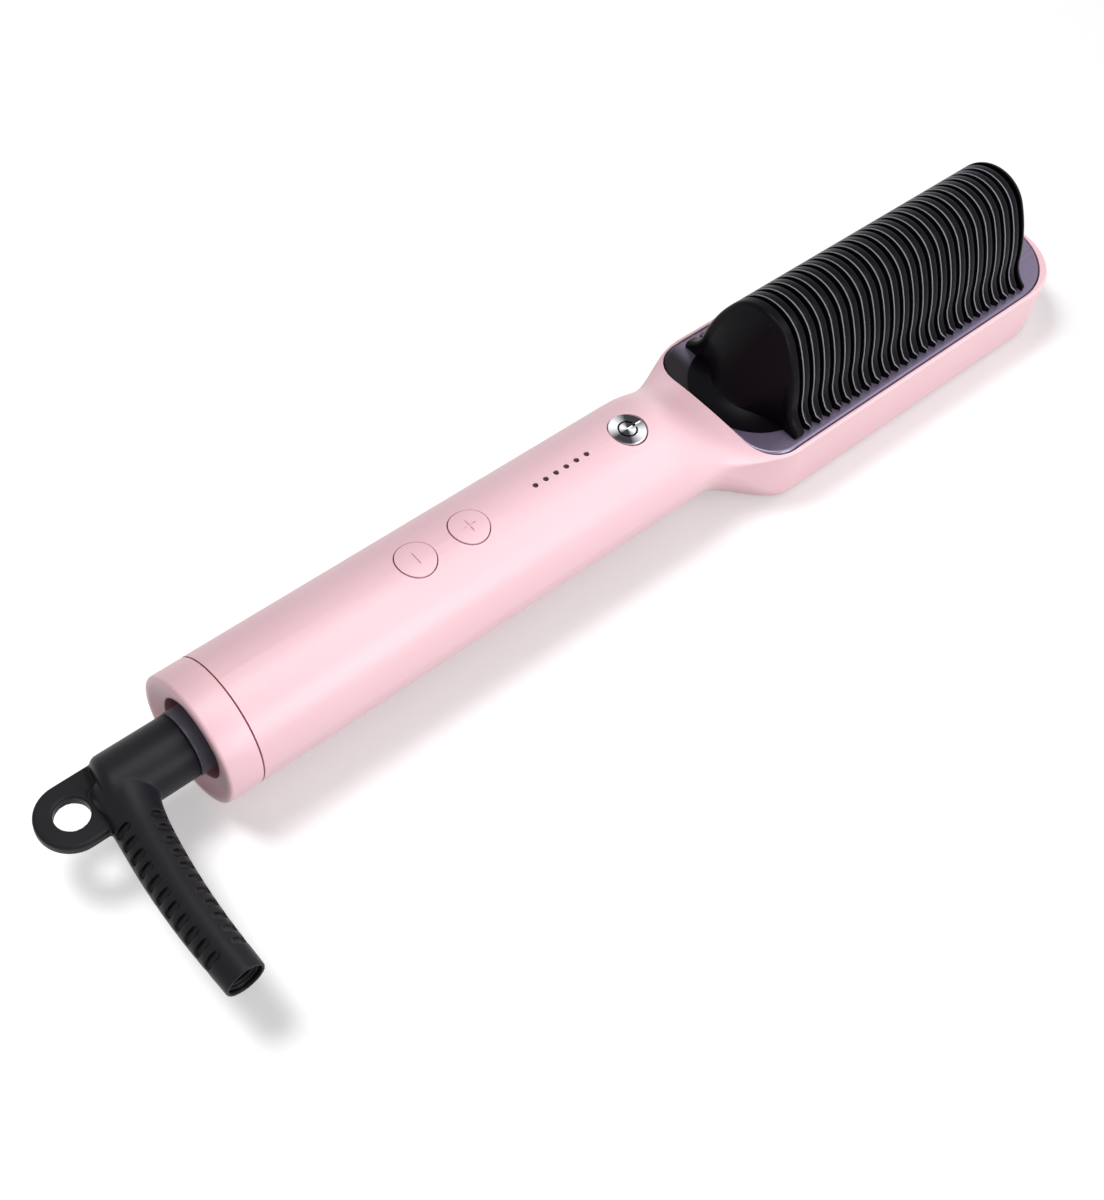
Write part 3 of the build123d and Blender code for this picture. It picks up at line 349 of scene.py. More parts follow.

# %% [markdown]
# ## The heating plate
# The plate is aluminium, brushed along the comb and anodised a greyish violet. Its grain is drawn 0.25
# mm wide, coarser than brushing leaves, so that it shows, and is stretched fifty times along X. The dyed
# oxide layer is thick and scatters some light itself, as paint does, so the shader is six tenths metal.
# The end at the handle, but not its near corner, carries a painted reflection: a dark tone where the
# plate mirrors the dark end arch over it. It could be a painted picture; here two smooth ramps, one along
# the plate and one across it, are multiplied, which needs no picture and keeps the painted reflection in
# its place on the piece.


# %% Anodised aluminium
def anodised_aluminium(reflection_x, reflection_y):
    """Brushed and dyed metal, with a painted dark reflection that grows from the first to the second place
    along each axis.
    """
    material, tree, place = new_material("violet_anodised_aluminium")
    lengthwise = add_node(tree, "ShaderNodeMapping", {"Scale": (0.02, 1.0, 1.0)}, {"Vector": place})
    brushing = add_node(tree, "ShaderNodeTexNoise", {"Scale": 1 / (0.25 * MM), "Detail": 2.0},
                        {"Vector": lengthwise.outputs[0]})
    tone = add_node(tree, "ShaderNodeMix",
                    {"data_type": "RGBA", 6: linear("#6f647c"), 7: linear("#867b94")},
                    {0: brushing.outputs["Fac"]})
    # Painted reflection: a dark tone where the plate mirrors the end arch, grown by two ramps.
    axes = add_node(tree, "ShaderNodeSeparateXYZ", {}, {0: place})
    ramps = [add_node(tree, "ShaderNodeMapRange",
                      {"interpolation_type": "SMOOTHSTEP", "From Min": clear, "From Max": full},
                      {"Value": axes.outputs[axis]})
             for axis, (clear, full) in (("X", reflection_x), ("Y", reflection_y))]
    reflected = add_node(tree, "ShaderNodeMath", {"operation": "MULTIPLY"},
                       {0: ramps[0].outputs[0], 1: ramps[1].outputs[0]})
    with_reflection = add_node(tree, "ShaderNodeMix", {"data_type": "RGBA", 7: linear("#17121a")},
                    {0: reflected.outputs[0], 6: tone.outputs[2]})
    gloss = add_node(tree, "ShaderNodeMapRange", {"To Min": 0.26, "To Max": 0.34},
                     {0: brushing.outputs["Fac"]})
    plate = add_node(tree, "ShaderNodeBsdfPrincipled", {"Metallic": 0.6},
                     {"Base Color": with_reflection.outputs[2], "Roughness": gloss.outputs[0]})
    add_node(tree, "ShaderNodeOutputMaterial", {}, {"Surface": plate.outputs[0]})
    return material


plate_low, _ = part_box("heating_plate")
REFLECTION_START = 13.1 * MM  # from the plate's end at the handle
REFLECTION_FULL = 6.1 * MM
REFLECTION_EDGE_GAP = 9.0 * MM  # from the plate's near edge
looks["plate_metal"] = anodised_aluminium((plate_low.x + REFLECTION_START, plate_low.x + REFLECTION_FULL),
                                          (plate_low.y + REFLECTION_EDGE_GAP, 0.0))

# %% [markdown]
# ## Turned chrome
# The power button's face is turned on a lathe and then plated. Its grooves are circles round its centre,
# and light breaks on them into two bright wedges. Real grooves would take thousands of faces, and at
# 0.12 mm only a close view would show them. Anisotropy gives their shine when its direction runs along
# them, which is the cross product of the button's axis and the way out from its centre. The wedges are
# also a painted reflection: a tone that changes by angle draws them into the colour, so that they show
# in even light. The engraved sign is told from the face by its height: its ring is inlaid black, and its
# bar is left bright.

# %% Chrome with circular grooves
WEDGES = 2
WEDGE_TURN = 3.6  # radians that the wedges are turned by
GROOVE_WIDTH = 0.12 * MM
RING_RADIUS = 2.4 * MM
RING_HALF_WIDTH = 0.5 * MM
SIGN_DEPTHS = (0.08 * MM, 0.22 * MM)  # still the face, and surely the sign


def turned_chrome(centre):
    """Plated metal with grooves round a centre, a painted reflection of two bright wedges, and an inlaid ring
    in what lies below the face.
    """
    material, tree, place = new_material("turned_chrome")
    outward = add_node(tree, "ShaderNodeVectorMath", {"operation": "SUBTRACT", 1: centre}, {0: place})
    along = add_node(tree, "ShaderNodeVectorMath", {"operation": "CROSS_PRODUCT", 0: (0, 0, 1)},
                     {1: outward.outputs[0]})
    tangent = add_node(tree, "ShaderNodeVectorMath", {"operation": "NORMALIZE"}, {0: along.outputs[0]})
    radius = add_node(tree, "ShaderNodeVectorMath", {"operation": "LENGTH"}, {0: outward.outputs[0]})

    # Painted reflection: two bright wedges drawn into the colour by angle, broken up by the grooves.
    angle = add_node(tree, "ShaderNodeTexGradient", {"gradient_type": "RADIAL"},
                     {"Vector": outward.outputs[0]})
    turns = add_node(tree, "ShaderNodeMath",
                     {"operation": "MULTIPLY_ADD", 1: WEDGES * 2 * math.pi, 2: WEDGE_TURN},
                     {0: angle.outputs["Fac"]})
    wedges = add_node(tree, "ShaderNodeMath", {"operation": "SINE"}, {0: turns.outputs[0]})
    groove_place = add_node(tree, "ShaderNodeCombineXYZ", {}, {"X": radius.outputs["Value"]})
    grooves = add_node(tree, "ShaderNodeTexNoise", {"Scale": 1 / GROOVE_WIDTH, "Detail": 1.0},
                       {"Vector": groove_place.outputs[0]})
    level = add_node(tree, "ShaderNodeMapRange", {"From Min": -0.6, "From Max": 0.9}, {0: wedges.outputs[0]})
    uneven = add_node(tree, "ShaderNodeMath", {"operation": "MULTIPLY_ADD", 1: 0.35, 2: -0.17},
                      {0: grooves.outputs["Fac"]})
    share = add_node(tree, "ShaderNodeMath", {"operation": "ADD", "use_clamp": True},
                     {0: level.outputs[0], 1: uneven.outputs[0]})
    painted_wedges = add_node(tree, "ShaderNodeMix",
                      {"data_type": "RGBA", 6: linear("#3a3a3f"), 7: linear("#f0f0f4")},
                      {0: share.outputs[0]})

    axes = add_node(tree, "ShaderNodeSeparateXYZ", {}, {0: place})
    face = add_node(tree, "ShaderNodeMapRange",
                    {"From Min": centre[2] - SIGN_DEPTHS[1], "From Max": centre[2] - SIGN_DEPTHS[0]},
                    {"Value": axes.outputs["Z"]})
    in_ring = add_node(tree, "ShaderNodeMath",
                       {"operation": "COMPARE", 1: RING_RADIUS, 2: RING_HALF_WIDTH},
                       {0: radius.outputs["Value"]})
    inlay = add_node(tree, "ShaderNodeMix",
                     {"data_type": "RGBA", 6: linear("#f4f4f6"), 7: linear("#0d0d0f")},
                     {0: in_ring.outputs[0]})
    tone = add_node(tree, "ShaderNodeMix", {"data_type": "RGBA"},
                    {0: face.outputs[0], 6: inlay.outputs[2], 7: painted_wedges.outputs[2]})
    chrome = add_node(tree, "ShaderNodeBsdfPrincipled",
                      {"Metallic": 1.0, "Roughness": 0.22, "Anisotropic": 0.85},
                      {"Base Color": tone.outputs[2], "Tangent": tangent.outputs[0]})
    add_node(tree, "ShaderNodeOutputMaterial", {}, {"Surface": chrome.outputs[0]})
    return material


low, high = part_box("power_button")
button_centre = ((low.x + high.x) / 2, (low.y + high.y) / 2, high.z)
looks["chrome_button"] = turned_chrome(button_centre)

# %% [markdown]
# ## Everything else
# Most of the remaining pieces hide inside the shells, yet each is made of something. Every one could
# have a material as elaborate as those above, but they share one recipe, which keeps them easy to
# compare: two close tones of the real material, broken up by a pattern of that material's own size in
# millimetres, and a roughness that follows it.


# %% Recipe for the small parts
def two_tone(name, dark, light, pattern, roughness, metallic=0.0, transmission=0.0):
    """A material of two close tones, mixed by a pattern of a given size in mm."""
    material, tree, place = new_material(name)
    mottle = add_node(tree, "ShaderNodeTexNoise", {"Scale": 1 / (pattern * MM), "Detail": 2.0},
                      {"Vector": place})
    tone = add_node(tree, "ShaderNodeMix", {"data_type": "RGBA", 6: linear(dark), 7: linear(light)},
                    {0: mottle.outputs["Fac"]})
    gloss = add_node(tree, "ShaderNodeMapRange", {"To Min": 0.85 * roughness, "To Max": 1.15 * roughness},
                     {0: mottle.outputs["Fac"]})
    small = add_node(tree, "ShaderNodeBsdfPrincipled",
                     {"Metallic": metallic, "Transmission Weight": transmission},
                     {"Base Color": tone.outputs[2], "Roughness": gloss.outputs[0]})
    add_node(tree, "ShaderNodeOutputMaterial", {}, {"Surface": small.outputs[0]})
    return material


# %% Small parts, slot by slot
looks |= {
    # Grey acetal: slippery and slightly waxy, with flow marks about 3 mm apart.
    "grey_collar": two_tone("grey_acetal", "#5c5f6a", "#696c78", 3.0, 0.32),
    # Smoked acrylic: lets a red light through and looks dark while it is off.
    "smoked_lens": two_tone("smoked_red_acrylic", "#38141c", "#451a24", 1.0, 0.12, transmission=0.3),
    # Sintered bronze: its grains are about 0.2 mm.
    "bronze": two_tone("sintered_bronze", "#8a6238", "#b08550", 0.2, 0.42, metallic=1.0),
    # Carbon of the brushes: matt, with grains near 0.15 mm.
    "carbon": two_tone("brush_carbon", "#1c1c1e", "#2c2c30", 0.15, 0.7, metallic=0.2),
    # Spring steel: cold-rolled, so its marks are long and shallow, drawn here as a 0.6 mm mottle.
    "spring_steel": two_tone("spring_steel", "#85888c", "#a5a8ac", 0.6, 0.32, metallic=1.0),
    # Zinc-plated steel of the screws: passivated, with a faint cloudiness about 0.8 mm across.
    "screw_steel": two_tone("zinc_plated_steel", "#8e9195", "#b2b5b9", 0.8, 0.3, metallic=1.0),
    # Glass-epoxy board under green solder mask: the glass weave is about 0.5 mm.
    "board": two_tone("solder_masked_board", "#123f28", "#1b5637", 0.5, 0.35),
    # Epoxy moulding compound of chips and switches: fine silica grain.
    "component_black": two_tone("epoxy_moulding_compound", "#17171a", "#222226", 0.2, 0.6),
    # Red case of the polypropylene film capacitor: smooth, slightly mottled.
    "component_red": two_tone("red_polypropylene", "#7d2020", "#932a28", 2.0, 0.4),
    # Shrink sleeve of the smoothing capacitor: PVC with a faint stretch pattern.
    "component_sleeve": two_tone("shrink_sleeve", "#1b2a4c", "#24365e", 1.5, 0.3),
    # Silicone dome of a light: milky.
    "led_white": two_tone("milky_silicone", "#dcdcd0", "#ecece2", 0.4, 0.3),
    # Natural nylon: off-white and a little waxy.
    "nylon": two_tone("natural_nylon", "#d2ccbc", "#ded9ca", 1.2, 0.45),
    # Mica sheet: pearly flakes about 2 mm across.
    "mica": two_tone("mica_sheet", "#a79c7c", "#c4b998", 2.0, 0.28, metallic=0.3),
    # Alumina heater: white ceramic with a grain near 0.3 mm.
    "heater_ceramic": two_tone("alumina_ceramic", "#d9d6cf", "#e8e6e0", 0.3, 0.55),
    # Silicone gasket: dark, so that the gap round the plate reads as a line.
    "silicone_gasket": two_tone("dark_silicone", "#1a1014", "#241820", 0.8, 0.6),
    # Silicone-rubber sheath of the leads: soft and dull.
    "lead_sheath": two_tone("silicone_rubber_sheath", "#6e1f22", "#7d282a", 1.0, 0.5),
}
slot_of = {row["node"]: row["material_slot"] for row in frame["record"]["subparts"]}
for name, node in nodes.items():
    node.data.materials.clear()
    node.data.materials.append(looks[slot_of[name]])
print("slots with a material:", len(looks))

# %% [markdown]
# ## Working copies
# Mouldings have softened edges that a CAD model leaves out. A imported piece is never changed: where one
# should look softer, a copy of its mesh is worked on, or a new mesh is made, and that stands for it. The
# imported mesh is loose triangles, so their corners are merged first. Shading is smooth up to a chosen
# angle, which keeps flat faces flat beside rounded ones without more of them.

# %% Copy, finish and attach
MERGE_DISTANCE = 0.002 * MM
SHARP_ANGLE = math.radians(38)


def copied_mesh(node):
    """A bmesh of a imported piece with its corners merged."""
    shape = bmesh.new()
    shape.from_mesh(nodes[node].data)
    bmesh.ops.remove_doubles(shape, verts=shape.verts, dist=MERGE_DISTANCE)
    return shape


def piece_from(shape, name, look):
    """An object at the origin from a bmesh, shaded smooth except at sharp edges."""
    mesh = bpy.data.meshes.new(name)
    shape.to_mesh(mesh)
    shape.free()
    if "custom_normal" in mesh.attributes:
        mesh.attributes.remove(mesh.attributes["custom_normal"])
    mesh.materials.append(looks[look])
    mesh.shade_smooth()
    mesh.set_sharp_from_angle(angle=SHARP_ANGLE)
    piece = bpy.data.objects.new(name, mesh)
    scene.collection.objects.link(piece)
    return piece


def made_plain(piece):
    """The piece with its modifiers turned into a plain mesh."""
    graph = bpy.context.evaluated_depsgraph_get()
    mesh = bpy.data.meshes.new_from_object(piece.evaluated_get(graph))
    piece.modifiers.clear()
    piece.data = mesh
    return piece


def hand_in(piece, body, slot, *replaced):
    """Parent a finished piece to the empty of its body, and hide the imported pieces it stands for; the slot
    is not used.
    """
    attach(piece, body)
    if replaced:
        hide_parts(*replaced)
    print(piece.name, len(piece.data.polygons), "faces on", body)


print("edges sharper than", round(math.degrees(SHARP_ANGLE)), "degrees stay sharp")

# %% [markdown]
# ## The comb's teeth
# Twenty-three thin arches stand over the plate and part the hair. They could be copied one by one, but
# all are the same and evenly spaced, so one tooth is made as a mesh and Geometry Nodes repeat it along a
# line. An arch is arcs that run into each other: a round crown, a long flat side, a foot that flares out
# and a small toe, which only its outer edge has. Its long edges get a narrow bevel, because moulded
# edges are never knife-sharp.

# %% Sizes of the arch
comb_low, comb_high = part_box("comb_guard")
PLATE_LEVEL = comb_low.z
TOOTH_COUNT = 23
TOOTH_THICKNESS = 2.4 * MM
TOOTH_PITCH = 4.105 * MM
TOOTH_DEPTH = 6.2 * MM
HANDLE_GUARD_INSIDE = -51.0 * MM  # inner face of the guard at the handle
TIP_GUARD_INSIDE = HANDLE_GUARD_INSIDE + (TOOTH_COUNT + 1) * TOOTH_PITCH - TOOTH_THICKNESS
FIRST_TOOTH = HANDLE_GUARD_INSIDE + TOOTH_PITCH - TOOTH_THICKNESS / 2
ARCS = ((12.0, 56.5), (43.5, 24.0), (9.0, -50.0))  # radius in mm, and turn downwards in degrees
TOE = (0.8, 80.0)
ARC_STEP = 4.0  # degrees from one point to the next


def arch_half(arcs, inset):
    """Points (y, z) of half an arch, from crest to plate, drawn inside its outer edge by an inset."""
    place, heading = Vector((0.0, comb_high.z - inset)), 0.0
    points = [place]
    for radius, turn in arcs:
        bend = math.copysign(1, turn)
        size = bend * (radius * MM - bend * inset)
        centre = place - size * Vector((math.sin(heading), math.cos(heading)))
        steps = round(abs(turn) / ARC_STEP)
        for _ in range(steps):
            heading += math.radians(turn) / steps
            points.append(centre + size * Vector((math.sin(heading), math.cos(heading))))
        place = points[-1]
    above = [point for point in points if point.y > PLATE_LEVEL]
    return above + [Vector((above[-1].x, PLATE_LEVEL))]


outer = arch_half(ARCS + (TOE,), 0.0)
inner = arch_half(ARCS, TOOTH_DEPTH)
print("arch:", len(outer), "outer and", len(inner), "inner points; foot reaches",
      round(max(point.x for point in outer) / MM, 2), "mm")

# %% One tooth
SOFT_EDGE = 0.22 * MM
FOOT_MARGIN = SOFT_EDGE / 10  # edges this close to the plate stay sharp
TOE_POINT = 1.6 * MM  # length over which a toe narrows
TOE_TIP = 0.08  # share of the thickness left at its tip


def tooth_shape():
    """One tooth about X = 0: its outline given a thickness, softened edges and pointed toes."""
    mirrored = [[Vector((-point.x, point.y)) for point in half[1:]] for half in (inner, outer)]
    outline = outer + inner[::-1] + mirrored[0] + mirrored[1][::-1]
    shape = bmesh.new()
    highlight_layer = shape.faces.layers.float.new("polished_edge")
    side = shape.faces.new([shape.verts.new((-TOOTH_THICKNESS / 2, y, z)) for y, z in outline])
    grown = bmesh.ops.extrude_face_region(shape, geom=[side])["geom"]
    bmesh.ops.translate(shape, vec=(TOOTH_THICKNESS, 0, 0),
                        verts=[part for part in grown if isinstance(part, bmesh.types.BMVert)])
    bmesh.ops.recalc_face_normals(shape, faces=shape.faces)

    moulded = [edge for edge in shape.edges
               if abs(edge.verts[0].co.x - edge.verts[1].co.x) < TOOTH_THICKNESS / 2
               and max(vert.co.z for vert in edge.verts) > PLATE_LEVEL + FOOT_MARGIN]
    soft = bmesh.ops.bevel(shape, geom=moulded, offset=SOFT_EDGE, segments=2, profile=0.5, affect="EDGES")
    # The bevel's faces on the handle's side carry the painted highlight line.
    for face in soft["faces"]:
        face[highlight_layer] = 1.0 if face.calc_center_median().x < 0 else 0.0

    reach = max(vert.co.y for vert in shape.verts)
    for sign in (-1, 1):
        everything = list(shape.verts) + list(shape.edges) + list(shape.faces)
        bmesh.ops.bisect_plane(shape, geom=everything, plane_co=(0, sign * (reach - TOE_POINT), 0),
                               plane_no=(0, sign, 0))
    for vert in shape.verts:
        vert.co.x *= min(max((reach - abs(vert.co.y)) / TOE_POINT, TOE_TIP), 1)
    return shape


tooth = piece_from(tooth_shape(), "comb_teeth", "black_comb")
print("one tooth:", len(tooth.data.polygons), "faces")


# %% Repeat along a line
def input_socket(tree, name, kind):
    """Add a named input to a node group and return its identifier."""
    return tree.interface.new_socket(name, in_out="INPUT", socket_type=kind).identifier


def copies_on_points(tree, points, piece, look):
    """End a tree with real copies of a piece on points, all in one material."""
    tree.interface.new_socket("Copies", in_out="OUTPUT", socket_type="NodeSocketGeometry")
    copies = add_node(tree, "GeometryNodeInstanceOnPoints", {}, {"Points": points, "Instance": piece})
    real = add_node(tree, "GeometryNodeRealizeInstances", {}, {"Geometry": copies.outputs[0]})
    dressed = add_node(tree, "GeometryNodeSetMaterial", {"Material": looks[look]},
                       {"Geometry": real.outputs[0]})
    add_node(tree, "NodeGroupOutput", {}, {"Copies": dressed.outputs[0]})


row = bpy.data.node_groups.new("row_along_x", "GeometryNodeTree")
input_socket(row, "Piece", "NodeSocketGeometry")
count_id = input_socket(row, "Count", "NodeSocketInt")
pitch_id = input_socket(row, "Pitch", "NodeSocketFloat")
start_id = input_socket(row, "Start", "NodeSocketFloat")
given = add_node(row, "NodeGroupInput")
first = add_node(row, "ShaderNodeCombineXYZ", {}, {"X": given.outputs["Start"]})
step = add_node(row, "ShaderNodeCombineXYZ", {}, {"X": given.outputs["Pitch"]})
line = add_node(row, "GeometryNodeMeshLine", {"mode": "OFFSET"},
                {"Count": given.outputs["Count"], "Start Location": first.outputs[0],
                 "Offset": step.outputs[0]})
copies_on_points(row, line.outputs[0], given.outputs["Piece"], "black_comb")

repeat = tooth.modifiers.new("row_of_teeth", "NODES")
repeat.node_group = row
repeat[count_id] = TOOTH_COUNT
repeat[pitch_id] = TOOTH_PITCH
repeat[start_id] = FIRST_TOOTH
hand_in(made_plain(tooth), "case", "black_comb", "comb_guard")

# %% [markdown]
# ## The comb's two ends
# A solid arch closes each end of the comb. The one at the handle swells into a dome that sweeps down
# into a round apron. Both could be modelled afresh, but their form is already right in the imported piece,
# so a copy of that is cut off behind each end arch and the cut is closed. The bar that joins the teeth
# under their crests is a new one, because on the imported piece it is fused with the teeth.

# %% End arches and spine
CUT_MARGIN = 0.02 * MM
SPINE_HOLD = 0.5 * MM  # how far the bar reaches into each end arch
SPINE_WIDTH = 7.0 * MM
SPINE_HEIGHT = 1.5 * MM


def comb_end(inside, outward):
    """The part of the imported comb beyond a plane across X, with its cut closed."""
    shape = copied_mesh("comb_guard")
    everything = list(shape.verts) + list(shape.edges) + list(shape.faces)
    bmesh.ops.bisect_plane(shape, geom=everything, plane_co=(inside - outward * CUT_MARGIN, 0, 0),
                           plane_no=(outward, 0, 0), clear_inner=True)
    bmesh.ops.holes_fill(shape, edges=[edge for edge in shape.edges if edge.is_boundary])
    bmesh.ops.recalc_face_normals(shape, faces=shape.faces)
    return shape


def spine_shape():
    """The bar under the crests, with its edges softened."""
    shape = bmesh.new()
    middle_x = (HANDLE_GUARD_INSIDE + TIP_GUARD_INSIDE) / 2
    size = (TIP_GUARD_INSIDE - HANDLE_GUARD_INSIDE + 2 * SPINE_HOLD, SPINE_WIDTH, SPINE_HEIGHT)
    low_z = comb_high.z - TOOTH_DEPTH
    place = Matrix.Translation((middle_x, 0, low_z + SPINE_HEIGHT / 2)) @ Matrix.Diagonal((*size, 1))
    bmesh.ops.create_cube(shape, size=1.0, matrix=place)
    bmesh.ops.bevel(shape, geom=shape.edges, offset=SOFT_EDGE, segments=2, profile=0.5, affect="EDGES")
    return shape


comb_shapes = {
    "near_end_arch": comb_end(HANDLE_GUARD_INSIDE, -1),
    "tip_end_arch": comb_end(TIP_GUARD_INSIDE, 1),
    "comb_spine": spine_shape(),
}
for name, shape in comb_shapes.items():
    hand_in(piece_from(shape, name, "black_comb"), "case", "black_comb", "comb_guard")

# %% [markdown]
# ## The end cap
# The cap closes the handle where the cord comes out. It is round about the handle's axis: a softened
# outer edge, a bevelled ring, a recess for the cord's fitting, and a narrow groove where it meets the
# shells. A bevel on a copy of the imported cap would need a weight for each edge. A lathe gives each
# corner its own rounding: one outline with rounded corners, copied round the axis in fine steps.

# %% Lathe
LATHE_STEPS = 96
ROUNDING_SHARES = (0, 0.25, 0.5, 0.75, 1)  # where points lie along a rounded corner


def rounded_outline(corners):
    """Points of a closed outline, from (place, radius, rounding) corners in mm."""
    points = []
    for number, (x, y, rounding) in enumerate(corners):
        here = Vector((x, y))
        before = (Vector(corners[number - 1][:2]) - here).normalized()
        after = (Vector(corners[(number + 1) % len(corners)][:2]) - here).normalized()
        if not rounding:
            points.append(here)
            continue
        half = before.angle(after) / 2
        centre = here + (before + after).normalized() * rounding / math.sin(half)
        start = here + before * rounding / math.tan(half) - centre
        end = here + after * rounding / math.tan(half) - centre
        points += [centre + (start * (1 - share) + end * share).normalized() * rounding
                   for share in ROUNDING_SHARES]
    return points


def lathe(outline, start_x, axis_z):
    """A closed shape: an outline turned about the line along X at a height."""
    shape = bmesh.new()
    rings = []
    for number in range(LATHE_STEPS):
        angle = 2 * math.pi * number / LATHE_STEPS
        rings.append([shape.verts.new((start_x + x * MM, radius * MM * math.sin(angle),
                                       axis_z + radius * MM * math.cos(angle))) for x, radius in outline])
    for number, ring in enumerate(rings):
        following = rings[(number + 1) % LATHE_STEPS]
        for corner in range(len(outline)):
            shape.faces.new((ring[corner - 1], ring[corner], following[corner], following[corner - 1]))
    bmesh.ops.recalc_face_normals(shape, faces=shape.faces)
    return shape


print("a lathe step is", round(360 / LATHE_STEPS, 2), "degrees")

# %% Cap, with sizes in mm
cap_low, cap_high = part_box("end_cap")
axis_height = (cap_low.z + cap_high.z) / 2
CAP_RADIUS = 16.5
BEVEL_RADIUS, BEVEL_DEPTH = 14.5, 1.3
RECESS_RADIUS, RECESS_DEPTH = 10.4, 6.5
BORE_RADIUS, BORE_END = 6.5, 11.0
GROOVE_RADIUS, GROOVE_START, GROOVE_END = 15.9, 8.85, 9.2
SPIGOT_RADIUS, SPIGOT_BORE, SPIGOT_END = 14.45, 12.45, 14.2
cap_corners = (
    (BEVEL_DEPTH, RECESS_RADIUS, 0.3),
    (0, BEVEL_RADIUS, 0.5),
    (0, CAP_RADIUS, 1.0),
    (GROOVE_START, CAP_RADIUS, 0.15),
    (GROOVE_START, GROOVE_RADIUS, 0),
    (GROOVE_END, GROOVE_RADIUS, 0),
    (GROOVE_END, SPIGOT_RADIUS, 0),
    (SPIGOT_END, SPIGOT_RADIUS, 0.2),
    (SPIGOT_END, SPIGOT_BORE, 0),
    (BORE_END, SPIGOT_BORE, 0),
    (BORE_END, BORE_RADIUS, 0),
    (RECESS_DEPTH, BORE_RADIUS, 0),
    (RECESS_DEPTH, RECESS_RADIUS, 0.3),
)
cap_shape = lathe(rounded_outline(cap_corners), cap_low.x, axis_height)
cap = piece_from(cap_shape, "end_cap_turned", "pink_shell")
print("cap:", len(cap.data.vertices), "points round a height of", round(axis_height / MM, 2), "mm")

# %% Painted shade in the cap's recess, groove and bevel
WALL_MARGIN = 0.1  # mm by which a point may lie off a wall and still count
RECESS_STARTS = BEVEL_DEPTH + 0.4  # just past the rounding at the bevel's foot
# The painted shade on the bevelled ring is lighter than in the recess and the groove.
BEVEL_SHARE = 0.35


def cap_painted_shade(from_end, radius):
    """How much painted shade a point of the cap gets, from 0 to 1, with its place and radius in mm."""
    in_recess = from_end > RECESS_STARTS and radius < RECESS_RADIUS + WALL_MARGIN
    in_groove = from_end > GROOVE_START - WALL_MARGIN and abs(radius - GROOVE_RADIUS) < WALL_MARGIN
    if in_recess or in_groove:
        return 1.0
    on_bevel = from_end < RECESS_STARTS and radius < BEVEL_RADIUS + WALL_MARGIN
    return BEVEL_SHARE if on_bevel else 0.0


cap_shade_values = cap.data.attributes.new("hollow", "FLOAT", "POINT")
for vert, hollow in zip(cap.data.vertices, cap_shade_values.data):
    radius = math.hypot(vert.co.y, vert.co.z - axis_height)
    hollow.value = cap_painted_shade((vert.co.x - cap_low.x) / MM, radius / MM)
hand_in(cap, "case", "pink_shell", "end_cap")

# %% [markdown]
# ## The cord boot
# Elbow, hanging tab and strain relief are one soft rubber moulding, so nothing on it is sharp and its
# parts melt into each other. A bevel would stumble over so many small edges. A voxel remesh of the
# packed boot gives even faces all over instead, and a few rounds of smoothing then round every edge
# alike.

# %% Soft boot
BOOT_VOXEL = 0.30 * MM
BOOT_ROUNDS = 3
boot = piece_from(copied_mesh("cord_boot"), "cord_boot_soft", "boot_rubber")
even = boot.modifiers.new("even_faces", "REMESH")
even.mode = "VOXEL"
even.voxel_size = BOOT_VOXEL
even.use_smooth_shade = True
soft = boot.modifiers.new("soft_edges", "SMOOTH")
soft.factor = 0.5
soft.iterations = BOOT_ROUNDS
made_plain(boot)
boot.data.materials.clear()
boot.data.materials.append(looks["boot_rubber"])
print("even faces of the boot:", len(boot.data.polygons))

# %% [markdown]
# ## Painted shade where the boot is enclosed
# On the real boot little light gets into the slots of the strain relief, so they get painted shade. The
# slots could be marked by their places, but then the marks would have to follow every change of the
# moulding. Instead, five short rays leave each point, one straight out and four tilted. Where one meets
# the boot again, the point is enclosed, and each ray that meets it adds to its painted shade.

# %% Mark the hollows
RAY_LIFT = 0.05 * MM  # so that a ray doesn't meet the face it starts from
RAY_REACH = 2.4 * MM
HIT_SHARE = 0.8  # what each ray that meets the boot adds


def mark_hollows(piece):
    """Store on each point how enclosed it is, from 0 to 1, as its share of painted shade."""
    mesh = piece.data
    surface = BVHTree.FromPolygons([vert.co for vert in mesh.vertices],
                                   [face.vertices for face in mesh.polygons])
    shade_values = mesh.attributes.new("hollow", "FLOAT", "POINT")
    for vert, hollow in zip(mesh.vertices, shade_values.data):
        side = vert.normal.orthogonal().normalized()
        across = vert.normal.cross(side)
        tilts = (side, -side, across, -across)
        rays = [vert.normal] + [(vert.normal + tilt).normalized() for tilt in tilts]
        start = vert.co + vert.normal * RAY_LIFT
        hits = sum(surface.ray_cast(start, ray, RAY_REACH)[0] is not None for ray in rays)
        hollow.value = min(1.0, HIT_SHARE * hits)
    print("enclosed points:", sum(hollow.value > 0 for hollow in shade_values.data), "of", len(shade_values.data))


mark_hollows(boot)
hand_in(boot, "cord_swivel", "boot_rubber", "cord_boot")

# %% [markdown]
# ## Shell screws
# Three screws hold the shells together from below. Each has a pan head with a cross recess and a coarse
# thread for plastic. The thread could be a true helix, but it hides in its boss, so the lathe turns it
# as separate ridges. A Boolean cuts the recess, because no turned shape can hold a cross.

# %% One screw, with sizes in mm
screw_low, screw_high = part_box("shell_screws")
screw_length = (screw_high.z - screw_low.z) / MM
HEAD_RADIUS, HEAD_HEIGHT = 2.5, 1.8
THREAD_RADIUS, ROOT_RADIUS, TIP_RADIUS = 1.3, 1.1, 0.6
THREAD_START, THREAD_PITCH = 2.4, 0.9
THREADLESS = 3.0  # head and tip together
TIP_LENGTH = 0.4
CROSS_WIDTH, CROSS_LENGTH, CROSS_DEPTH = 0.55, 3.0, 1.0
POLE_MERGE = 0.001 * MM

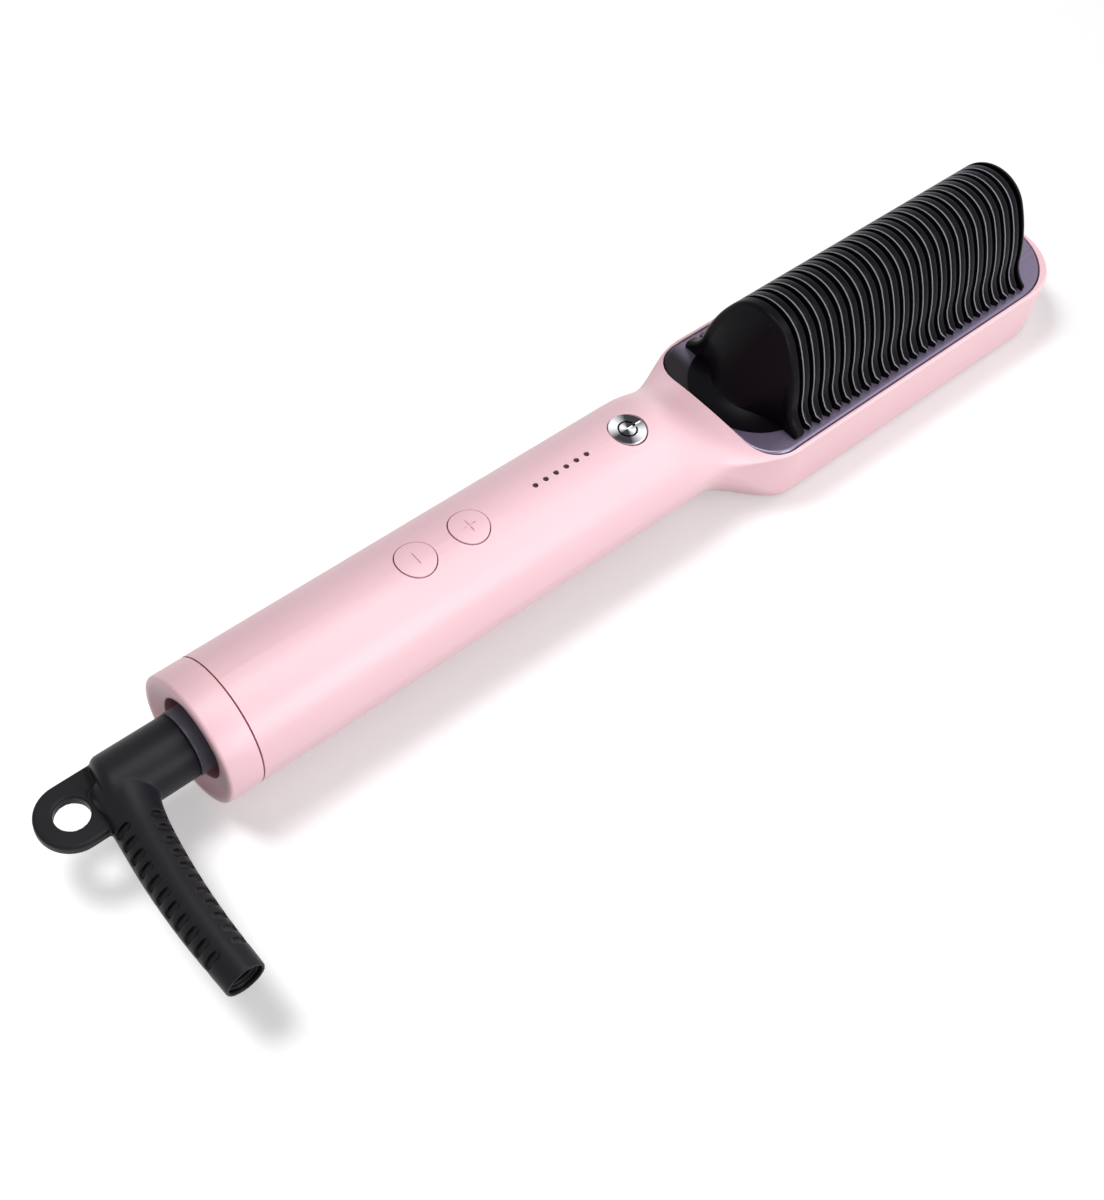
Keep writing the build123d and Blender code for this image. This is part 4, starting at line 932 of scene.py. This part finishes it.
screw_corners = [(0, 0.0, 0), (0, HEAD_RADIUS, 0.4), (HEAD_HEIGHT, HEAD_RADIUS, 0.1),
                 (HEAD_HEIGHT, THREAD_RADIUS, 0)]
for ridge in range(int((screw_length - THREADLESS) / THREAD_PITCH)):
    start = THREAD_START + THREAD_PITCH * ridge
    screw_corners += [(start, ROOT_RADIUS, 0), (start + THREAD_PITCH / 2, THREAD_RADIUS, 0)]
screw_corners += [(screw_length - TIP_LENGTH, ROOT_RADIUS, 0), (screw_length, TIP_RADIUS, 0),
                  (screw_length, 0.0, 0)]
screw_shape = lathe(rounded_outline(screw_corners), 0, 0)
bmesh.ops.remove_doubles(screw_shape, verts=screw_shape.verts, dist=POLE_MERGE)
bmesh.ops.dissolve_degenerate(screw_shape, edges=screw_shape.edges, dist=POLE_MERGE)
bmesh.ops.rotate(screw_shape, verts=screw_shape.verts, matrix=Matrix.Rotation(-math.pi / 2, 3, "Y"))
bmesh.ops.recalc_face_normals(screw_shape, faces=screw_shape.faces)
screw = piece_from(screw_shape, "one_shell_screw", "screw_steel")

cross = bmesh.new()
for width, length in ((CROSS_WIDTH, CROSS_LENGTH), (CROSS_LENGTH, CROSS_WIDTH)):
    size = Vector((width, length, 2 * CROSS_DEPTH)) * MM
    bmesh.ops.create_cube(cross, size=1.0, matrix=Matrix.Diagonal((*size, 1)))
cutter = piece_from(cross, "cross_recess", "screw_steel")
cut = screw.modifiers.new("recess", "BOOLEAN")
cut.operation = "DIFFERENCE"
cut.solver = "EXACT"
cut.use_self = True
cut.object = cutter
made_plain(screw)
bpy.data.objects.remove(cutter)
print("screw length:", round(screw_length, 1), "mm; faces:", len(screw.data.polygons))

# %% [markdown]
# ## Screws in their places
# The three screws are alike and stand in one line, but not evenly spaced, so a row won't do. Three
# points are made a mesh, and Geometry Nodes stand a copy of the screw on each point.

# %% Screws on points
spots = bpy.data.node_groups.new("pieces_on_points", "GeometryNodeTree")
input_socket(spots, "Points", "NodeSocketGeometry")
piece_id = input_socket(spots, "Piece", "NodeSocketObject")
given = add_node(spots, "NodeGroupInput")
info = add_node(spots, "GeometryNodeObjectInfo", {}, {"Object": given.outputs["Piece"]})
copies_on_points(spots, given.outputs["Points"], info.outputs["Geometry"], "screw_steel")

MIDDLE_SCREW = 41.0 * MM  # from the rear screw
rear_x = screw_low.x + HEAD_RADIUS * MM
front_x = screw_high.x - HEAD_RADIUS * MM
screw_places = [(x, 0, screw_low.z) for x in (rear_x, rear_x + MIDDLE_SCREW, front_x)]
screw_mesh = bpy.data.meshes.new("shell_screws_crossed")
screw_mesh.from_pydata(screw_places, [], [])
screw_row = bpy.data.objects.new("shell_screws_crossed", screw_mesh)
scene.collection.objects.link(screw_row)
stand = screw_row.modifiers.new("screws", "NODES")
stand.node_group = spots
stand[piece_id] = screw
made_plain(screw_row)
bpy.data.objects.remove(screw)
hand_in(screw_row, "case", "screw_steel", "shell_screws")

# %% [markdown]
# ## The end
# Every new piece of the comb now rides on the empty of its body, and the imported pieces that it
# stands for are hidden.

# %% Finish
print("the comb is dressed")
